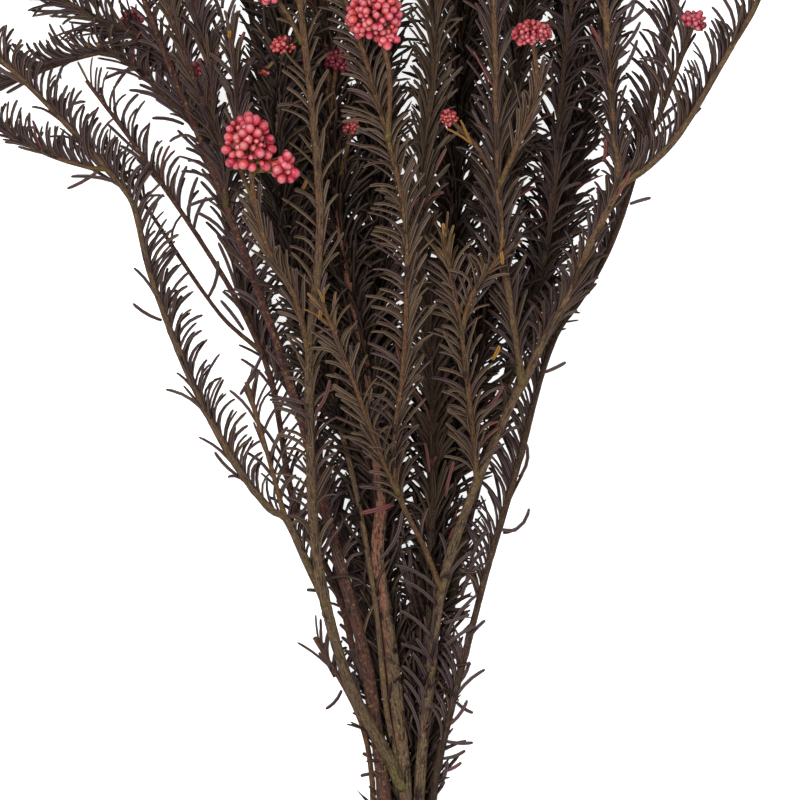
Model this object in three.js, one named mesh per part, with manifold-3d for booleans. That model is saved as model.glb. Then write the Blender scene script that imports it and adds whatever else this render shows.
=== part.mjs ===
// A cut bunch of dried rice flower, lying on a surface as one would lay it on a table.
// Millimetres. +X runs across the bunch, +Y from the cut ends to the flower heads, +Z up.
// Each cut stem is one solid with its side shoots and leaves. Each flower head is one solid of buds.
// Routes are measured from the neck, the point on the surface under the place where the bare stems
// lie closest together, and MIDDLE then moves everything to the middle of the bunch's box.
import * as THREE from 'three';
import { mergeVertices } from 'three/addons/utils/BufferGeometryUtils.js';
import Module from 'manifold-3d';

const wasm = await Module();
wasm.setup();

// Driving dimensions.
const MIDDLE = new THREE.Vector3(-7, 161.5, 0);
const GAP = 0.35;
const LEAF = { length: 13, radius: 0.52, pitch: 8.2 };
const TWIST = 0.006;
const LOWEST_LEAF = 0.6;
const SEED = 41;

// How a leaf is held: its angles from the shoot's run at its root and at its tip. The swing of each is
// added on the side of a slanting shoot that faces the flower end, and taken off on the other.
const FRONT = { root: 0.42, rootSwing: 0.15, tip: 1.05, tipSwing: 0.35 };
const OUTER = { root: 0.4, rootSwing: 0.3, tip: 0.85, tipSwing: 0.6 };
const INNER = { root: 0.6, rootSwing: 0.15, tip: 1.25, tipSwing: 0.3 };
const SWING_SHARPNESS = 2.5;

// A bud sits on a face of its head's core, sunk to just past its widest, and is this much longer than wide.
const BUD_STRETCH = 1.25;
const BUD_SUNK = 0.12;
// How near the middle of a core its faces and its back lie, as shares of its corners' distance.
const FACE_SHARE = 0.795;
const BACK_SHARE = 0.87;

const OLIVE_BARK = new THREE.MeshStandardMaterial({ color: 0x6b5a44, roughness: 0.85 });
const RED_BARK = new THREE.MeshStandardMaterial({ color: 0x6a3f3c, roughness: 0.85 });
const DARK_BARK = new THREE.MeshStandardMaterial({ color: 0x43342d, roughness: 0.85 });
const PINK_BUDS = new THREE.MeshStandardMaterial({ color: 0xd0566a, roughness: 0.6 });

// Flower heads: half width across the shoot, half length along it, bud radius, how many faces of the
// core bear buds, and how many buds stand on a face.
const LARGE = { across: 8.6, along: 7.8, bud: 2, faces: 15, each: 1 };
const SMALL = { across: 4.6, along: 4.4, bud: 1.05, faces: 14, each: 1 };
const TINY = { across: 3.2, along: 3.4, bud: 0.78, faces: 12, each: 1 };

// A shoot: its width at the root and the tip, the Y from which it bears leaves, the head at its end,
// the route of its middle line and, where it isn't as on the rest of its stem, how its leaves are held.
// A route with a head ends at the middle of that head.
const shoot = (width, leavesFrom, head, route, habit) => ({ width, leavesFrom, head, route, habit });
const BARE = Infinity;

const STEMS = [
  {
    node: 'middle_stem',
    bark: OLIVE_BARK,
    habit: FRONT,
    shoots: [
      // The trunk, which rises behind the leaves.
      shoot([4.8, 1.5], 92, LARGE, [[1.6, -70, 8], [2.7, -38, 8.4], [1.7, 0, 8.5], [-0.6, 26, 10],
        [-5.2, 65, 16], [-7.5, 81, 20], [-6.5, 99, 25], [-10, 132, 33], [-21, 198, 43], [-25, 264, 48],
        [-31, 352, 52], [-33, 384, 52]], INNER),
      // The stem that crosses in front of the others and rises left of the middle.
      shoot([4, 1.5], 76, LARGE, [[0.5, 2, 9.5], [-3.8, 13, 12.5], [-15, 33, 18], [-23.6, 60, 25],
        [-28, 84, 34], [-29.3, 106, 42], [-29.7, 152, 57], [-27, 175, 62], [-26.4, 198, 65],
        [-33, 264, 70], [-45, 345, 69], [-49, 368, 67]]),
      // A thin shoot between the two, which ends in the small head at the top left.
      shoot([2, 1.5], 60, { ...SMALL, across: 4.4, along: 4 }, [[0.2, 5, 9], [-4.6, 30, 13],
        [-8.4, 66, 18], [-16, 108, 29], [-33, 170, 47], [-40, 200, 53], [-40.5, 225, 57],
        [-38.6, 248.5, 61]], INNER),
      // The long outer shoot on the left, which leaves the bunch low down.
      shoot([3, 1.5], 72, null, [[-24.5, 64, 26.5], [-30.4, 77, 28], [-38, 93, 30], [-43, 95.7, 31],
        [-56, 113, 33], [-69.3, 139, 35], [-82.5, 173, 37], [-87.8, 195, 38], [-90.8, 201, 38],
        [-105.6, 218, 38.5], [-132, 244.5, 40], [-150, 257, 38]], OUTER),
      // Its lower side shoot.
      shoot([1.6, 1.5], 200, null, [[-97, 208.5, 38], [-102, 208.7, 40], [-118, 214, 41.5],
        [-146, 229, 36]], OUTER),
      // A short shoot above its bend.
      shoot([1.7, 1.5], 96, null, [[-38, 92.5, 30], [-43.6, 113, 36], [-50.8, 138, 41.5]], OUTER),
      // The shoot that carries the largest head, at the front.
      shoot([2, 1.7], 156, { across: 9.2, along: 11.4, bud: 1.6, faces: 17, each: 3, lobe: [10.5, -5, 1] },
        [[-29.5, 145, 55], [-34.7, 166, 63], [-42.2, 179, 69], [-47.5, 196, 73], [-49.5, 215, 78]]),
      // The young shoot behind that head.
      shoot([1.6, 1.5], 212, null, [[-47.8, 197, 72.5], [-52.5, 209, 66], [-54, 240, 69],
        [-56, 254, 70]]),
      // Two small heads on the trunk, deep inside.
      shoot([1.5, 1.5], BARE, SMALL, [[-22.5, 225, 45.5], [-22, 235, 50], [-20.5, 243.5, 54]]),
      shoot([1.5, 1.5], BARE, TINY, [[-20, 206, 43], [-17.5, 215, 47], [-16, 222.4, 50]]),
      // A small head at the front, above the largest one.
      shoot([1.6, 1.5], BARE, { ...SMALL, across: 6 }, [[-32.2, 249, 69.5], [-36, 257, 73],
        [-42, 266, 76]]),
    ],
  },
  {
    node: 'right_stem',
    bark: OLIVE_BARK,
    habit: FRONT,
    shoots: [
      // The trunk and the left arm of its fork.
      shoot([4, 1.5], 84, LARGE, [[6.2, -66, 8], [7.3, -34, 8.4], [6.5, 0, 8.2], [9.2, 33, 11],
        [14.7, 72.6, 19], [24, 101, 29], [37, 131, 39], [41.3, 138.6, 41], [48.3, 154, 43],
        [56, 167, 45], [60.4, 178, 46], [69, 195.7, 47.5], [72.5, 204, 48], [70.6, 219, 51],
        [67.7, 264, 55], [65, 340, 54], [64, 366, 53]]),
      // The right arm, which makes the bunch's outline at the top right.
      shoot([2.4, 1.5], 208, LARGE, [[72.5, 203, 48], [81.8, 209, 49], [92.4, 220.4, 51],
        [110.2, 250, 55], [118, 264, 56], [132, 310, 51], [136, 332, 46]], OUTER),
      // The big leafy shoot in the middle, in front of everything.
      shoot([3, 1.5], 80, LARGE, [[14, 68, 18.5], [8.3, 82.5, 27], [0, 100, 42], [-2, 115.5, 54],
        [1, 142, 66], [2.3, 171.6, 73], [0.6, 198, 76.5], [-10, 239, 79], [-24, 285, 79],
        [-31, 348, 77]]),
      // The stalk of the head at the top of the middle.
      shoot([1.8, 1.6], BARE, { across: 10, along: 9, bud: 1.5, faces: 15, each: 3 }, [[-4, 217, 78],
        [-3.6, 240, 85], [-8.6, 257.5, 88]]),
      // The young front shoot left of the middle.
      shoot([1.8, 1.5], 108, null, [[-0.7, 101, 43], [-7.6, 117, 57], [-14.9, 137, 66],
        [-25.7, 164, 72]]),
      // The young front shoot right of the middle, and its side shoot.
      shoot([2, 1.5], 106, null, [[25.7, 104, 30], [24.1, 120.5, 42], [20.5, 152, 58],
        [14.2, 187.4, 67.5]]),
      shoot([1.6, 1.5], 158, null, [[20.2, 154, 59], [23.8, 166.6, 64], [34, 181, 69]]),
      // The upright shoot right of the middle.
      shoot([2.6, 1.5], 142, LARGE, [[40.3, 137, 40.5], [38.3, 151.8, 51], [34.7, 175, 63],
        [32.3, 201, 70], [30.7, 264, 76], [27, 345, 75], [26, 374, 73]]),
      // The stalks of two heads that it carries.
      shoot([1.8, 1.5], 212, { ...SMALL, across: 7.2, along: 4.6 }, [[32.5, 202, 70], [40.3, 220.4, 76],
        [44.9, 234, 78], [43.2, 252, 82]]),
      shoot([1.6, 1.5], BARE, TINY, [[32, 205, 71], [24.8, 215.5, 76], [16, 224.4, 80]]),
    ],
  },
  {
    node: 'outer_right_stem',
    bark: DARK_BARK,
    habit: OUTER,
    shoots: [
      shoot([3, 1.5], 16, LARGE, [[10.4, -62, 7], [12, -32, 7.4], [11.2, 0, 7.5], [18.2, 33, 10],
        [28.2, 72.6, 16], [38.3, 107, 22.5], [46.5, 138.6, 28], [52.5, 155, 31], [60, 165.5, 33],
        [68.3, 180, 34.5], [75, 197.5, 36], [79.3, 212, 37.5], [87.5, 246, 39], [97, 290, 38],
        [103, 342, 30]]),
      // The stalk of the small head at the top right.
      shoot([1.6, 1.5], 212, SMALL, [[78, 207, 37], [86.5, 227.7, 47], [97, 256.7, 57]]),
    ],
  },
  {
    node: 'red_stem',
    bark: RED_BARK,
    habit: FRONT,
    shoots: [
      shoot([5.2, 1.5], 82, LARGE, [[-4.4, -68, 8], [-5.9, -36, 8.5], [-5.2, 0, 8.2], [-8.5, 26, 9.8],
        [-11.7, 46, 13], [-16.3, 65, 16.5], [-21.8, 84, 20.5], [-34, 130, 31], [-43.6, 159, 37],
        [-61, 206, 45], [-72.6, 234, 49], [-91, 283, 51], [-103, 328, 45]]),
      // Two shoots that stand in front of it at the top left.
      shoot([1.9, 1.5], 200, LARGE, [[-57.4, 196, 43.5], [-58.7, 213, 53], [-66, 233, 60], [-77, 264, 66],
        [-88, 316, 65]]),
      shoot([1.7, 1.5], 228, null, [[-61.5, 222, 56.5], [-62.4, 243.5, 65], [-67, 258, 68],
        [-64, 344, 66]]),
      // The purple shoot behind, which parts into two long thin twigs.
      shoot([2.6, 1.5], 56, null, [[-7.4, 22, 9.2], [-10, 34, 9.5], [-14.9, 46, 10.5], [-19, 63, 12.5],
        [-25, 77, 14.5], [-32, 90, 16.5], [-36.5, 103, 19], [-40, 124, 22], [-42.5, 137, 23],
        [-46.9, 150, 24], [-57.8, 171.6, 27], [-86.5, 214.5, 31], [-104, 238, 31]], OUTER),
      shoot([1.6, 1.5], 160, null, [[-46, 148, 23.6], [-60, 160.7, 25], [-84.8, 197, 26],
        [-98, 216, 24]], OUTER),
      // A small head among the leaves at the top left.
      shoot([1.6, 1.5], BARE, SMALL, [[-63, 211, 45.6], [-64.5, 226, 38], [-66.5, 241, 33]]),
    ],
  },
  {
    node: 'thin_left_twig',
    bark: OLIVE_BARK,
    habit: OUTER,
    shoots: [
      shoot([2, 1.4], 30, null, [[-9.2, -64, 5], [-10.8, -30, 5.6], [-9.8, 0, 5.4], [-13.9, 25, 7],
        [-28.5, 53, 14]]),
    ],
  },
  {
    node: 'back_stem_1',
    bark: DARK_BARK,
    habit: INNER,
    onSurface: true,
    shoots: [
      shoot([4.4, 1.5], 70, null, [[-5.6, -70, 1.8], [-6.8, -36, 1.78], [-5.2, 0, 1.75], [-14, 70, 7.5],
        [-34, 130, 11], [-49.5, 158, 13], [-61, 204.6, 16], [-66, 221, 17], [-75.9, 231, 18],
        [-90.4, 244, 20], [-100, 247.5, 20], [-138, 235, 12]], OUTER),
      shoot([2, 1.5], 226, LARGE, [[-66, 219, 17], [-77.5, 247, 21], [-101.6, 259.4, 20],
        [-140, 281, 8]]),
      shoot([1.6, 1.5], BARE, SMALL, [[-75.9, 230.5, 18], [-80, 240, 12], [-83, 247, 8]]),
      shoot([1.6, 1.5], BARE, SMALL, [[-77.5, 246, 21], [-84, 252, 15], [-90, 258, 11]]),
    ],
  },
  {
    node: 'back_stem_2',
    bark: DARK_BARK,
    habit: INNER,
    onSurface: true,
    shoots: [
      shoot([4.4, 1.5], 70, LARGE, [[-0.9, -72, 1.8], [0.6, -38, 1.78], [0, 0, 1.75], [-6, 70, 8],
        [-20, 140, 11], [-40, 220, 15], [-50, 264, 16], [-62, 366, 8]]),
      shoot([2.4, 1.5], 90, null, [[-6, 70, 8], [-14, 110, 18], [-31, 190, 31], [-41, 270, 35],
        [-56, 352, 34]]),
      shoot([2.4, 1.5], 90, LARGE, [[-7, 75, 8.4], [-6, 120, 19], [-8, 200, 32], [-7, 285, 37],
        [-5, 382, 34]]),
    ],
  },
  {
    node: 'back_stem_3',
    bark: DARK_BARK,
    habit: INNER,
    onSurface: true,
    shoots: [
      shoot([4.4, 1.5], 60, LARGE, [[4.4, -66, 1.8], [5.9, -34, 1.78], [5, 0, 1.75], [10, 70, 8],
        [16, 140, 11], [19, 220, 14], [22, 264, 15], [31, 372, 8]]),
      shoot([2.6, 1.5], 90, LARGE, [[10, 70, 8], [11, 120, 28], [9.5, 150, 45], [6.5, 185, 56],
        [8.5, 213, 61], [12.5, 272, 65], [13, 388, 60]]),
      shoot([2.4, 1.5], 100, null, [[13, 94, 9.2], [26, 150, 27], [38, 240, 38], [49, 352, 36]]),
    ],
  },
  {
    node: 'back_stem_4',
    bark: DARK_BARK,
    habit: INNER,
    onSurface: true,
    shoots: [
      shoot([4, 1.5], 56, LARGE, [[9.6, -70, 1.62], [11.2, -36, 1.6], [10.2, 0, 1.57], [18, 70, 7],
        [33, 130, 10.5], [49.5, 191, 13], [56, 224, 15], [58, 315, 12], [61, 358, 8]]),
      shoot([2.2, 1.5], 136, LARGE, [[33, 128, 10.4], [47, 170, 13], [64, 240, 14], [78, 340, 8]]),
      shoot([2.2, 1.5], 150, null, [[38, 146, 11.3], [49, 185, 33], [54, 240, 42], [67, 345, 40]]),
    ],
  },
];

// Repeatable random numbers from 0 to 1.
function randomSource(seed) {
  let state = seed;
  return () => {
    state = (state + 0x6d2b79f5) | 0;
    let mixed = Math.imul(state ^ (state >>> 15), state | 1);
    mixed ^= mixed + Math.imul(mixed ^ (mixed >>> 7), mixed | 61);
    return ((mixed ^ (mixed >>> 14)) >>> 0) / 4294967296;
  };
}

// The directions level with the surface and away from it, square to a shoot's run.
function crossDirections(tangent) {
  const side = new THREE.Vector3().crossVectors(tangent, new THREE.Vector3(0, 0, 1)).normalize();
  return { side, up: new THREE.Vector3().crossVectors(side, tangent).normalize() };
}

// The unit vector that stands out from a shoot at an angle round its run.
function outward(tangent, angle) {
  const { side, up } = crossDirections(tangent);
  return side.multiplyScalar(Math.cos(angle)).addScaledVector(up, Math.sin(angle));
}

// A closed surface through rings of corners round a line. A last ring of radius 0 is a point.
function skin(rings, sides) {
  const corners = [];
  const faces = [];
  for (const { at, tangent, radius, turn } of rings) {
    const count = radius > 0 ? sides : 1;
    for (let j = 0; j < count; j += 1) {
      const arm = outward(tangent, turn + (2 * Math.PI * j) / sides);
      corners.push(...at.clone().addScaledVector(arm, radius));
    }
  }
  for (let i = 0; i + 1 < rings.length; i += 1) {
    const pointed = rings[i + 1].radius === 0;
    for (let j = 0; j < sides; j += 1) {
      const k = (j + 1) % sides;
      const near = i * sides;
      const far = near + sides;
      faces.push(near + j, pointed ? far : far + j, near + k);
      if (!pointed) faces.push(near + k, far + j, far + k);
    }
  }
  const end = (rings.length - 1) * sides;
  for (let j = 1; j + 1 < sides; j += 1) {
    faces.push(0, j, j + 1);
    if (rings.at(-1).radius > 0) faces.push(end, end + j + 1, end + j);
  }
  const surface = new THREE.BufferGeometry();
  surface.setAttribute('position', new THREE.Float32BufferAttribute(corners, 3));
  return surface.setIndex(faces);
}

// A closed surface as a solid that can be joined and cut.
function solidFrom(surface) {
  const bare = surface.clone();
  for (const extra of ['normal', 'uv']) bare.deleteAttribute(extra);
  const whole = mergeVertices(bare);
  return new wasm.Manifold(new wasm.Mesh({
    numProp: 3,
    vertProperties: whole.attributes.position.array,
    triVerts: new Uint32Array(whole.index.array),
  }));
}

// A solid as a named mesh, moved to the part's own frame.
function meshFrom(solid, name, material) {
  const { vertProperties, triVerts } = solid.getMesh();
  const surface = new THREE.BufferGeometry();
  surface.setAttribute('position', new THREE.BufferAttribute(Float32Array.from(vertProperties), 3));
  surface.setIndex(new THREE.BufferAttribute(Uint32Array.from(triVerts), 1));
  const mesh = new THREE.Mesh(surface, material);
  mesh.name = name;
  mesh.position.copy(MIDDLE).negate();
  return mesh;
}

// What stands where, as round-ended rods, so that leaves can be kept clear of their neighbours.
class Crowd {
  constructor() {
    this.rods = [];
  }

  add(node, points, radius) {
    for (let i = 0; i + 1 < points.length; i += 1) {
      this.rods.push({ node, line: new THREE.Line3(points[i], points[i + 1]), radius });
    }
  }

  // Whether rods through the points would stay a gap away from every other node.
  clear(node, points, radius) {
    const lines = points.slice(1).map((end, i) => new THREE.Line3(points[i], end));
    return this.rods.every((rod) => rod.node === node || lines.every((line) => {
      const reach = rod.radius + radius + GAP;
      return line.distanceSqToLine3(rod.line) > reach * reach;
    }));
  }
}

// How far a core's corners lie from its middle, for buds on its faces to reach the head's outline.
const coreRadius = (reach, { bud }) => (reach - BUD_STRETCH * bud) / FACE_SHARE;

// The middle line of a shoot, its run and its radius at each point. A head shortens it.
function shootLine({ route, width, head }) {
  const points = route.map((point) => new THREE.Vector3(...point));
  if (head) {
    const last = points.at(-1);
    const back = last.clone().sub(points.at(-2)).normalize();
    last.addScaledVector(back, -(BACK_SHARE * coreRadius(head.along, head) + GAP));
  }
  const run = points.map((point, i) => {
    const before = points[Math.max(i - 1, 0)];
    const after = points[Math.min(i + 1, points.length - 1)];
    return after.clone().sub(before).normalize();
  });
  const reach = [0];
  for (let i = 1; i < points.length; i += 1) reach.push(reach[i - 1] + points[i].distanceTo(points[i - 1]));
  const radius = reach.map((distance) => {
    const share = distance / reach.at(-1);
    return THREE.MathUtils.lerp(width[0], width[1], share) / 2;
  });
  return { points, run, reach, radius };
}

// The bare wood of a shoot: six sides where it is stout and four where it is a twig.
function woodOf(line, stout) {
  const rings = line.points.map((at, i) => ({
    at,
    tangent: line.run[i],
    radius: line.radius[i],
    turn: stout ? 0 : TWIST * line.reach[i],
  }));
  return solidFrom(skin(rings, stout ? 6 : 4));
}

// A point of the line and its run at a distance from its root.
function along(line, distance) {
  const last = line.reach.length - 2;
  const i = Math.min(Math.max(line.reach.findIndex((reach) => reach > distance) - 1, 0), last);
  const share = (distance - line.reach[i]) / (line.reach[i + 1] - line.reach[i]);
  return {
    at: line.points[i].clone().lerp(line.points[i + 1], share),
    tangent: line.run[i].clone().lerp(line.run[i + 1], share).normalize(),
  };
}

// How far along a line it first comes to a Y, or past its end where it never does.
function distanceAtY({ points, reach }, y) {
  const i = points.findIndex((point) => point.y > y);
  if (i < 1) return i === 0 ? 0 : Infinity;
  const share = (y - points[i - 1].y) / (points[i].y - points[i - 1].y);
  return THREE.MathUtils.lerp(reach[i - 1], reach[i], share);
}

// The direction at an angle from a shoot's run, on the side that an arm points to.
const leaning = (tangent, arm, angle) => tangent.clone()
  .multiplyScalar(Math.cos(angle))
  .addScaledVector(arm, Math.sin(angle));

// The tip of a leaf, which sets off close to the shoot and bends away from it.
function leafTip(at, tangent, arm, length, habit) {
  const swing = Math.tanh(SWING_SHARPNESS * arm.y);
  const start = leaning(tangent, arm, habit.root + habit.rootSwing * swing);
  const finish = leaning(tangent, arm, habit.tip + habit.tipSwing * swing);
  return at.clone().addScaledVector(start.add(finish), length / 2);
}

// A three-sided leaf, rooted on the shoot's middle line and pointed at its tip.
function leafSolid(root, tip, turn) {
  const tangent = tip.clone().sub(root).normalize();
  const base = { at: root, tangent, radius: LEAF.radius, turn };
  return solidFrom(skin([base, { at: tip, tangent, radius: 0, turn }], 3));
}

// The leaves of one shoot, one to each face of its wood in turn, turned clear of other nodes or shortened.
// A shoot with no head ends in a leaf.
function leavesOf({ node, habit }, line, { leavesFrom, head, habit: own }, faces, crowd, random) {
  const leaves = [];
  const end = line.reach.at(-1) - 0.6;
  let face = Math.floor(random() * faces);
  let distance = distanceAtY(line, leavesFrom);
  for (; distance < end; distance += LEAF.pitch * (0.85 + 0.3 * random())) {
    const { at, tangent } = along(line, distance);
    const length = LEAF.length * (0.88 + 0.24 * random());
    face += 1 + Math.floor(faces / 3);
    for (let attempt = 0; attempt < 2 * faces; attempt += 1) {
      const size = attempt < faces ? length : 0.7 * length;
      const turn = faces === 4 ? TWIST * distance : 0;
      const angle = turn + (2 * Math.PI * (face + attempt + 0.5)) / faces;
      const tip = leafTip(at, tangent, outward(tangent, angle), size, own ?? habit);
      if (tip.z < LOWEST_LEAF || !crowd.clear(node, [at, tip], LEAF.radius)) continue;
      crowd.add(node, [at, tip], LEAF.radius);
      leaves.push(leafSolid(at, tip, angle));
      break;
    }
  }
  if (!head) {
    const { at, tangent } = along(line, end);
    const tip = at.clone().addScaledVector(tangent, 0.8 * LEAF.length);
    if (crowd.clear(node, [at, tip], LEAF.radius)) leaves.push(leafSolid(at, tip, 0));
  }
  return leaves;
}

// The places of buds on one face of a core: its middle, or one beside each of its corners.
function budPlaces(face, { bud, each }) {
  const middle = face.getMidpoint(new THREE.Vector3());
  if (each === 1) return [middle];
  const reach = (2 * bud) / Math.sqrt(3);
  return [face.a, face.b, face.c].map((corner) => {
    const towards = corner.clone().sub(middle).normalize();
    return middle.clone().addScaledVector(towards, reach);
  });
}

// A dome of buds on a smaller core of 20 faces. Its pole lies along the shoot that carries it, and the
// faces nearest the pole bear the buds.
function domeParts(middle, pole, head) {
  const toPole = new THREE.Quaternion().setFromUnitVectors(new THREE.Vector3(0, 0, 1), pole);
  const across = coreRadius(head.across, head);
  const core = new THREE.IcosahedronGeometry(1, 0)
    .scale(across, across, coreRadius(head.along, head))
    .applyQuaternion(toPole)
    .translate(...middle);
  const corners = core.attributes.position;
  const faces = [];
  for (let i = 0; i < corners.count; i += 3) {
    faces.push(new THREE.Triangle().setFromAttributeAndIndices(corners, i, i + 1, i + 2));
  }
  const height = (face) => face.getMidpoint(new THREE.Vector3()).dot(pole);
  faces.sort((one, other) => height(other) - height(one));
  const buds = faces.slice(0, head.faces).flatMap((face) => {
    const normal = face.getNormal(new THREE.Vector3());
    const outwards = new THREE.Quaternion().setFromUnitVectors(new THREE.Vector3(0, 0, 1), normal);
    return budPlaces(face, head).map((place) => new THREE.OctahedronGeometry(head.bud, 0)
      .scale(1, 1, BUD_STRETCH)
      .applyQuaternion(outwards)
      .translate(...place.addScaledVector(normal, -BUD_SUNK)));
  });
  return [core, ...buds].map(solidFrom);
}

// A flower head: one dome, or two where a smaller one grows out of its side.
function headSolid({ route, head }) {
  const middle = new THREE.Vector3(...route.at(-1));
  const pole = middle.clone().sub(new THREE.Vector3(...route.at(-2))).normalize();
  const parts = domeParts(middle, pole, head);
  if (head.lobe) {
    const beside = middle.clone().add(new THREE.Vector3(...head.lobe));
    parts.push(...domeParts(beside, pole, { across: 5.2, along: 6.6, bud: 1.5, faces: 14, each: 1 }));
  }
  return wasm.Manifold.union(parts);
}

// What lies on the surface has a flat there.
const flatBelow = (solid) => solid.trimByPlane([0, 0, 1], 0);

const random = randomSource(SEED);
const crowd = new Crowd();
const bunch = new THREE.Group();

// Wood and heads are placed first, so that every leaf can keep clear of them.
const heads = [];
for (const stem of STEMS) {
  stem.lines = stem.shoots.map(shootLine);
  stem.lines.forEach((line) => crowd.add(stem.node, line.points, line.radius[0]));
  for (const piece of stem.shoots.filter(({ head }) => head)) {
    const name = `flower_head_${String(heads.length + 1).padStart(2, '0')}`;
    const middle = new THREE.Vector3(...piece.route.at(-1));
    const reach = Math.max(piece.head.across, piece.head.along);
    crowd.add(name, [middle, middle.clone().setY(middle.y + 0.01)], reach);
    heads.push({ name, piece });
  }
}

for (const stem of STEMS) {
  const parts = stem.lines.flatMap((line, i) => {
    const stout = stem.shoots[i].width[0] > 3;
    const leaves = leavesOf(stem, line, stem.shoots[i], stout ? 6 : 4, crowd, random);
    return [woodOf(line, stout), ...leaves];
  });
  const solid = wasm.Manifold.union(parts);
  bunch.add(meshFrom(stem.onSurface ? flatBelow(solid) : solid, stem.node, stem.bark));
}

for (const { name, piece } of heads) {
  bunch.add(meshFrom(flatBelow(headSolid(piece)), name, PINK_BUDS));
}

export default bunch;
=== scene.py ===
"""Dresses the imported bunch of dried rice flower: bark, needle leaves, flower heads, studio and camera.

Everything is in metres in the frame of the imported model. Routes of stems are written in millimetres
from the neck of the bunch, as the solids were laid out, and placed() moves them into the frame.
"""

import logging
import math
from dataclasses import dataclass
from enum import Enum

import bpy
import numpy as np
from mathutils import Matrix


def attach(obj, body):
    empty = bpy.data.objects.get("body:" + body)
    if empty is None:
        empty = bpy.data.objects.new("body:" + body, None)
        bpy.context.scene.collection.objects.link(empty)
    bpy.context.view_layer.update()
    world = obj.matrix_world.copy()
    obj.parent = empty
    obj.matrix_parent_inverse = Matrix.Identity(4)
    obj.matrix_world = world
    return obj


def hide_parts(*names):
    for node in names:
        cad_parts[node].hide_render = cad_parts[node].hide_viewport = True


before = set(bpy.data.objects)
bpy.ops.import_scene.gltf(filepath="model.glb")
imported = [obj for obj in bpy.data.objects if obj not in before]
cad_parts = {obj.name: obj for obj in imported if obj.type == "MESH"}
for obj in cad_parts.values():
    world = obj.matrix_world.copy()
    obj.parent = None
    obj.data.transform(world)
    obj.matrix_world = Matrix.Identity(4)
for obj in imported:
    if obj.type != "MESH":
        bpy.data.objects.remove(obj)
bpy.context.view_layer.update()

Array = np.ndarray
Point = tuple[float, float, float]

LOG = logging.getLogger("rice_flower")
MM = 0.001
MIDDLE = np.array([-7.0, 161.5, 0.0])
SURFACE = 0.0004
GOLDEN_ANGLE = math.pi * (3 - math.sqrt(5))
BARE = math.inf
SEED = 41


class Bark(Enum):
    """The colours of bark in the bunch."""

    OLIVE = "olive_bark"
    RED = "red_bark"
    DARK = "dark_bark"


def placed(points: Array) -> Array:
    """Moves points of a route into the frame.

    Args:
        points: Places in millimetres from the neck of the bunch.

    Returns:
        The same places in metres in the frame.
    """
    return (np.asarray(points, float) - MIDDLE) * MM


def unit(vectors: Array) -> Array:
    """Scales vectors to length 1.

    Args:
        vectors: An array whose last axis is x, y, z.

    Returns:
        The vectors, each divided by its own length.
    """
    return vectors / np.maximum(np.linalg.norm(vectors, axis=-1, keepdims=True), 1e-12)


def climb(values: Array, start: float, end: float) -> Array:
    """Climbs evenly from 0 at start to 1 at end, as clip((value - start) / (end - start), 0, 1)."""
    return np.clip((values - start) / (end - start), 0, 1)


def linear(code: str) -> tuple[float, float, float, float]:
    """Turns a colour as seen on a screen into the shader's linear one.

    Args:
        code: Six hexadecimal digits.

    Returns:
        Red, green and blue by the inverse of the screen's curve, and alpha 1.
    """
    seen = np.array([int(code[i:i + 2], 16) / 255 for i in (0, 2, 4)])
    value = np.where(seen <= 0.04045, seen / 12.92, ((seen + 0.055) / 1.055) ** 2.4)
    return (*value.tolist(), 1.0)


# Geometry


@dataclass
class Line:
    """A smooth middle line: its places, its run, the directions across it and how far along they are."""

    points: Array
    tangent: Array
    side: Array
    up: Array
    reach: Array

    @classmethod
    def through(cls, route: Array, step: float) -> "Line":
        """Lays a smooth line through the points of a route.

        Each stretch is the cubic that leaves and meets its end points along the chord of their
        neighbours, and it is read at even shares of about one step.

        Args:
            route: Places in metres, in order.
            step: How far apart the new points lie.

        Returns:
            The line.
        """
        before = np.vstack([2 * route[0] - route[1], route[:-1]])
        after = np.vstack([route[1:], 2 * route[-1] - route[-2]])
        spans = np.linalg.norm(np.diff(route, axis=0), axis=1)
        back = np.linalg.norm(route - before, axis=1)
        ahead = np.linalg.norm(after - route, axis=1)
        slope = (after - before) / (back + ahead)[:, None]
        runs = []
        for i, span in enumerate(spans):
            count = max(2, round(float(span / step)))
            t = np.linspace(0, 1, count, endpoint=False)[:, None]
            runs.append((1 + 2 * t) * (1 - t) ** 2 * route[i] + t * (1 - t) ** 2 * span * slope[i]
                        + t * t * (3 - 2 * t) * route[i + 1] - t * t * (1 - t) * span * slope[i + 1])
        return cls.of(np.vstack([*runs, route[-1:]]))

    @classmethod
    def of(cls, points: Array) -> "Line":
        """Works out the run and the cross directions of a line.

        The side lies level, square to the run, and up is square to both.

        Args:
            points: The line's points in order.

        Returns:
            The line.
        """
        tangent = unit(np.gradient(points, axis=0))
        side = unit(np.cross(tangent, [0.0, 0.0, 1.0]))
        reach = np.concatenate([[0.0], np.cumsum(np.linalg.norm(np.diff(points, axis=0), axis=1))])
        return cls(points, tangent, side, np.cross(side, tangent), reach)

    def at(self, distance: Array) -> "Line":
        """Reads the line at distances from its root.

        Args:
            distance: Metres along the line.

        Returns:
            A line whose rows are those places.
        """
        def read(values: Array) -> Array:
            """Reads three columns of values at the distances."""
            return np.stack([np.interp(distance, self.reach, values[:, k]) for k in range(3)], axis=1)

        tangent = unit(read(self.tangent))
        side = unit(np.cross(tangent, [0.0, 0.0, 1.0]))
        return Line(read(self.points), tangent, side, np.cross(side, tangent), np.asarray(distance))

    def distance_at_y(self, y: float) -> float:
        """Finds how far along the line it first comes to a height in the picture.

        Args:
            y: The y of the frame, in metres.

        Returns:
            The distance from the root, or infinity where the line stays below y.
        """
        above = np.nonzero(self.points[:, 1] > y)[0]
        return float(self.reach[above[0]]) if len(above) else math.inf


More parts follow.
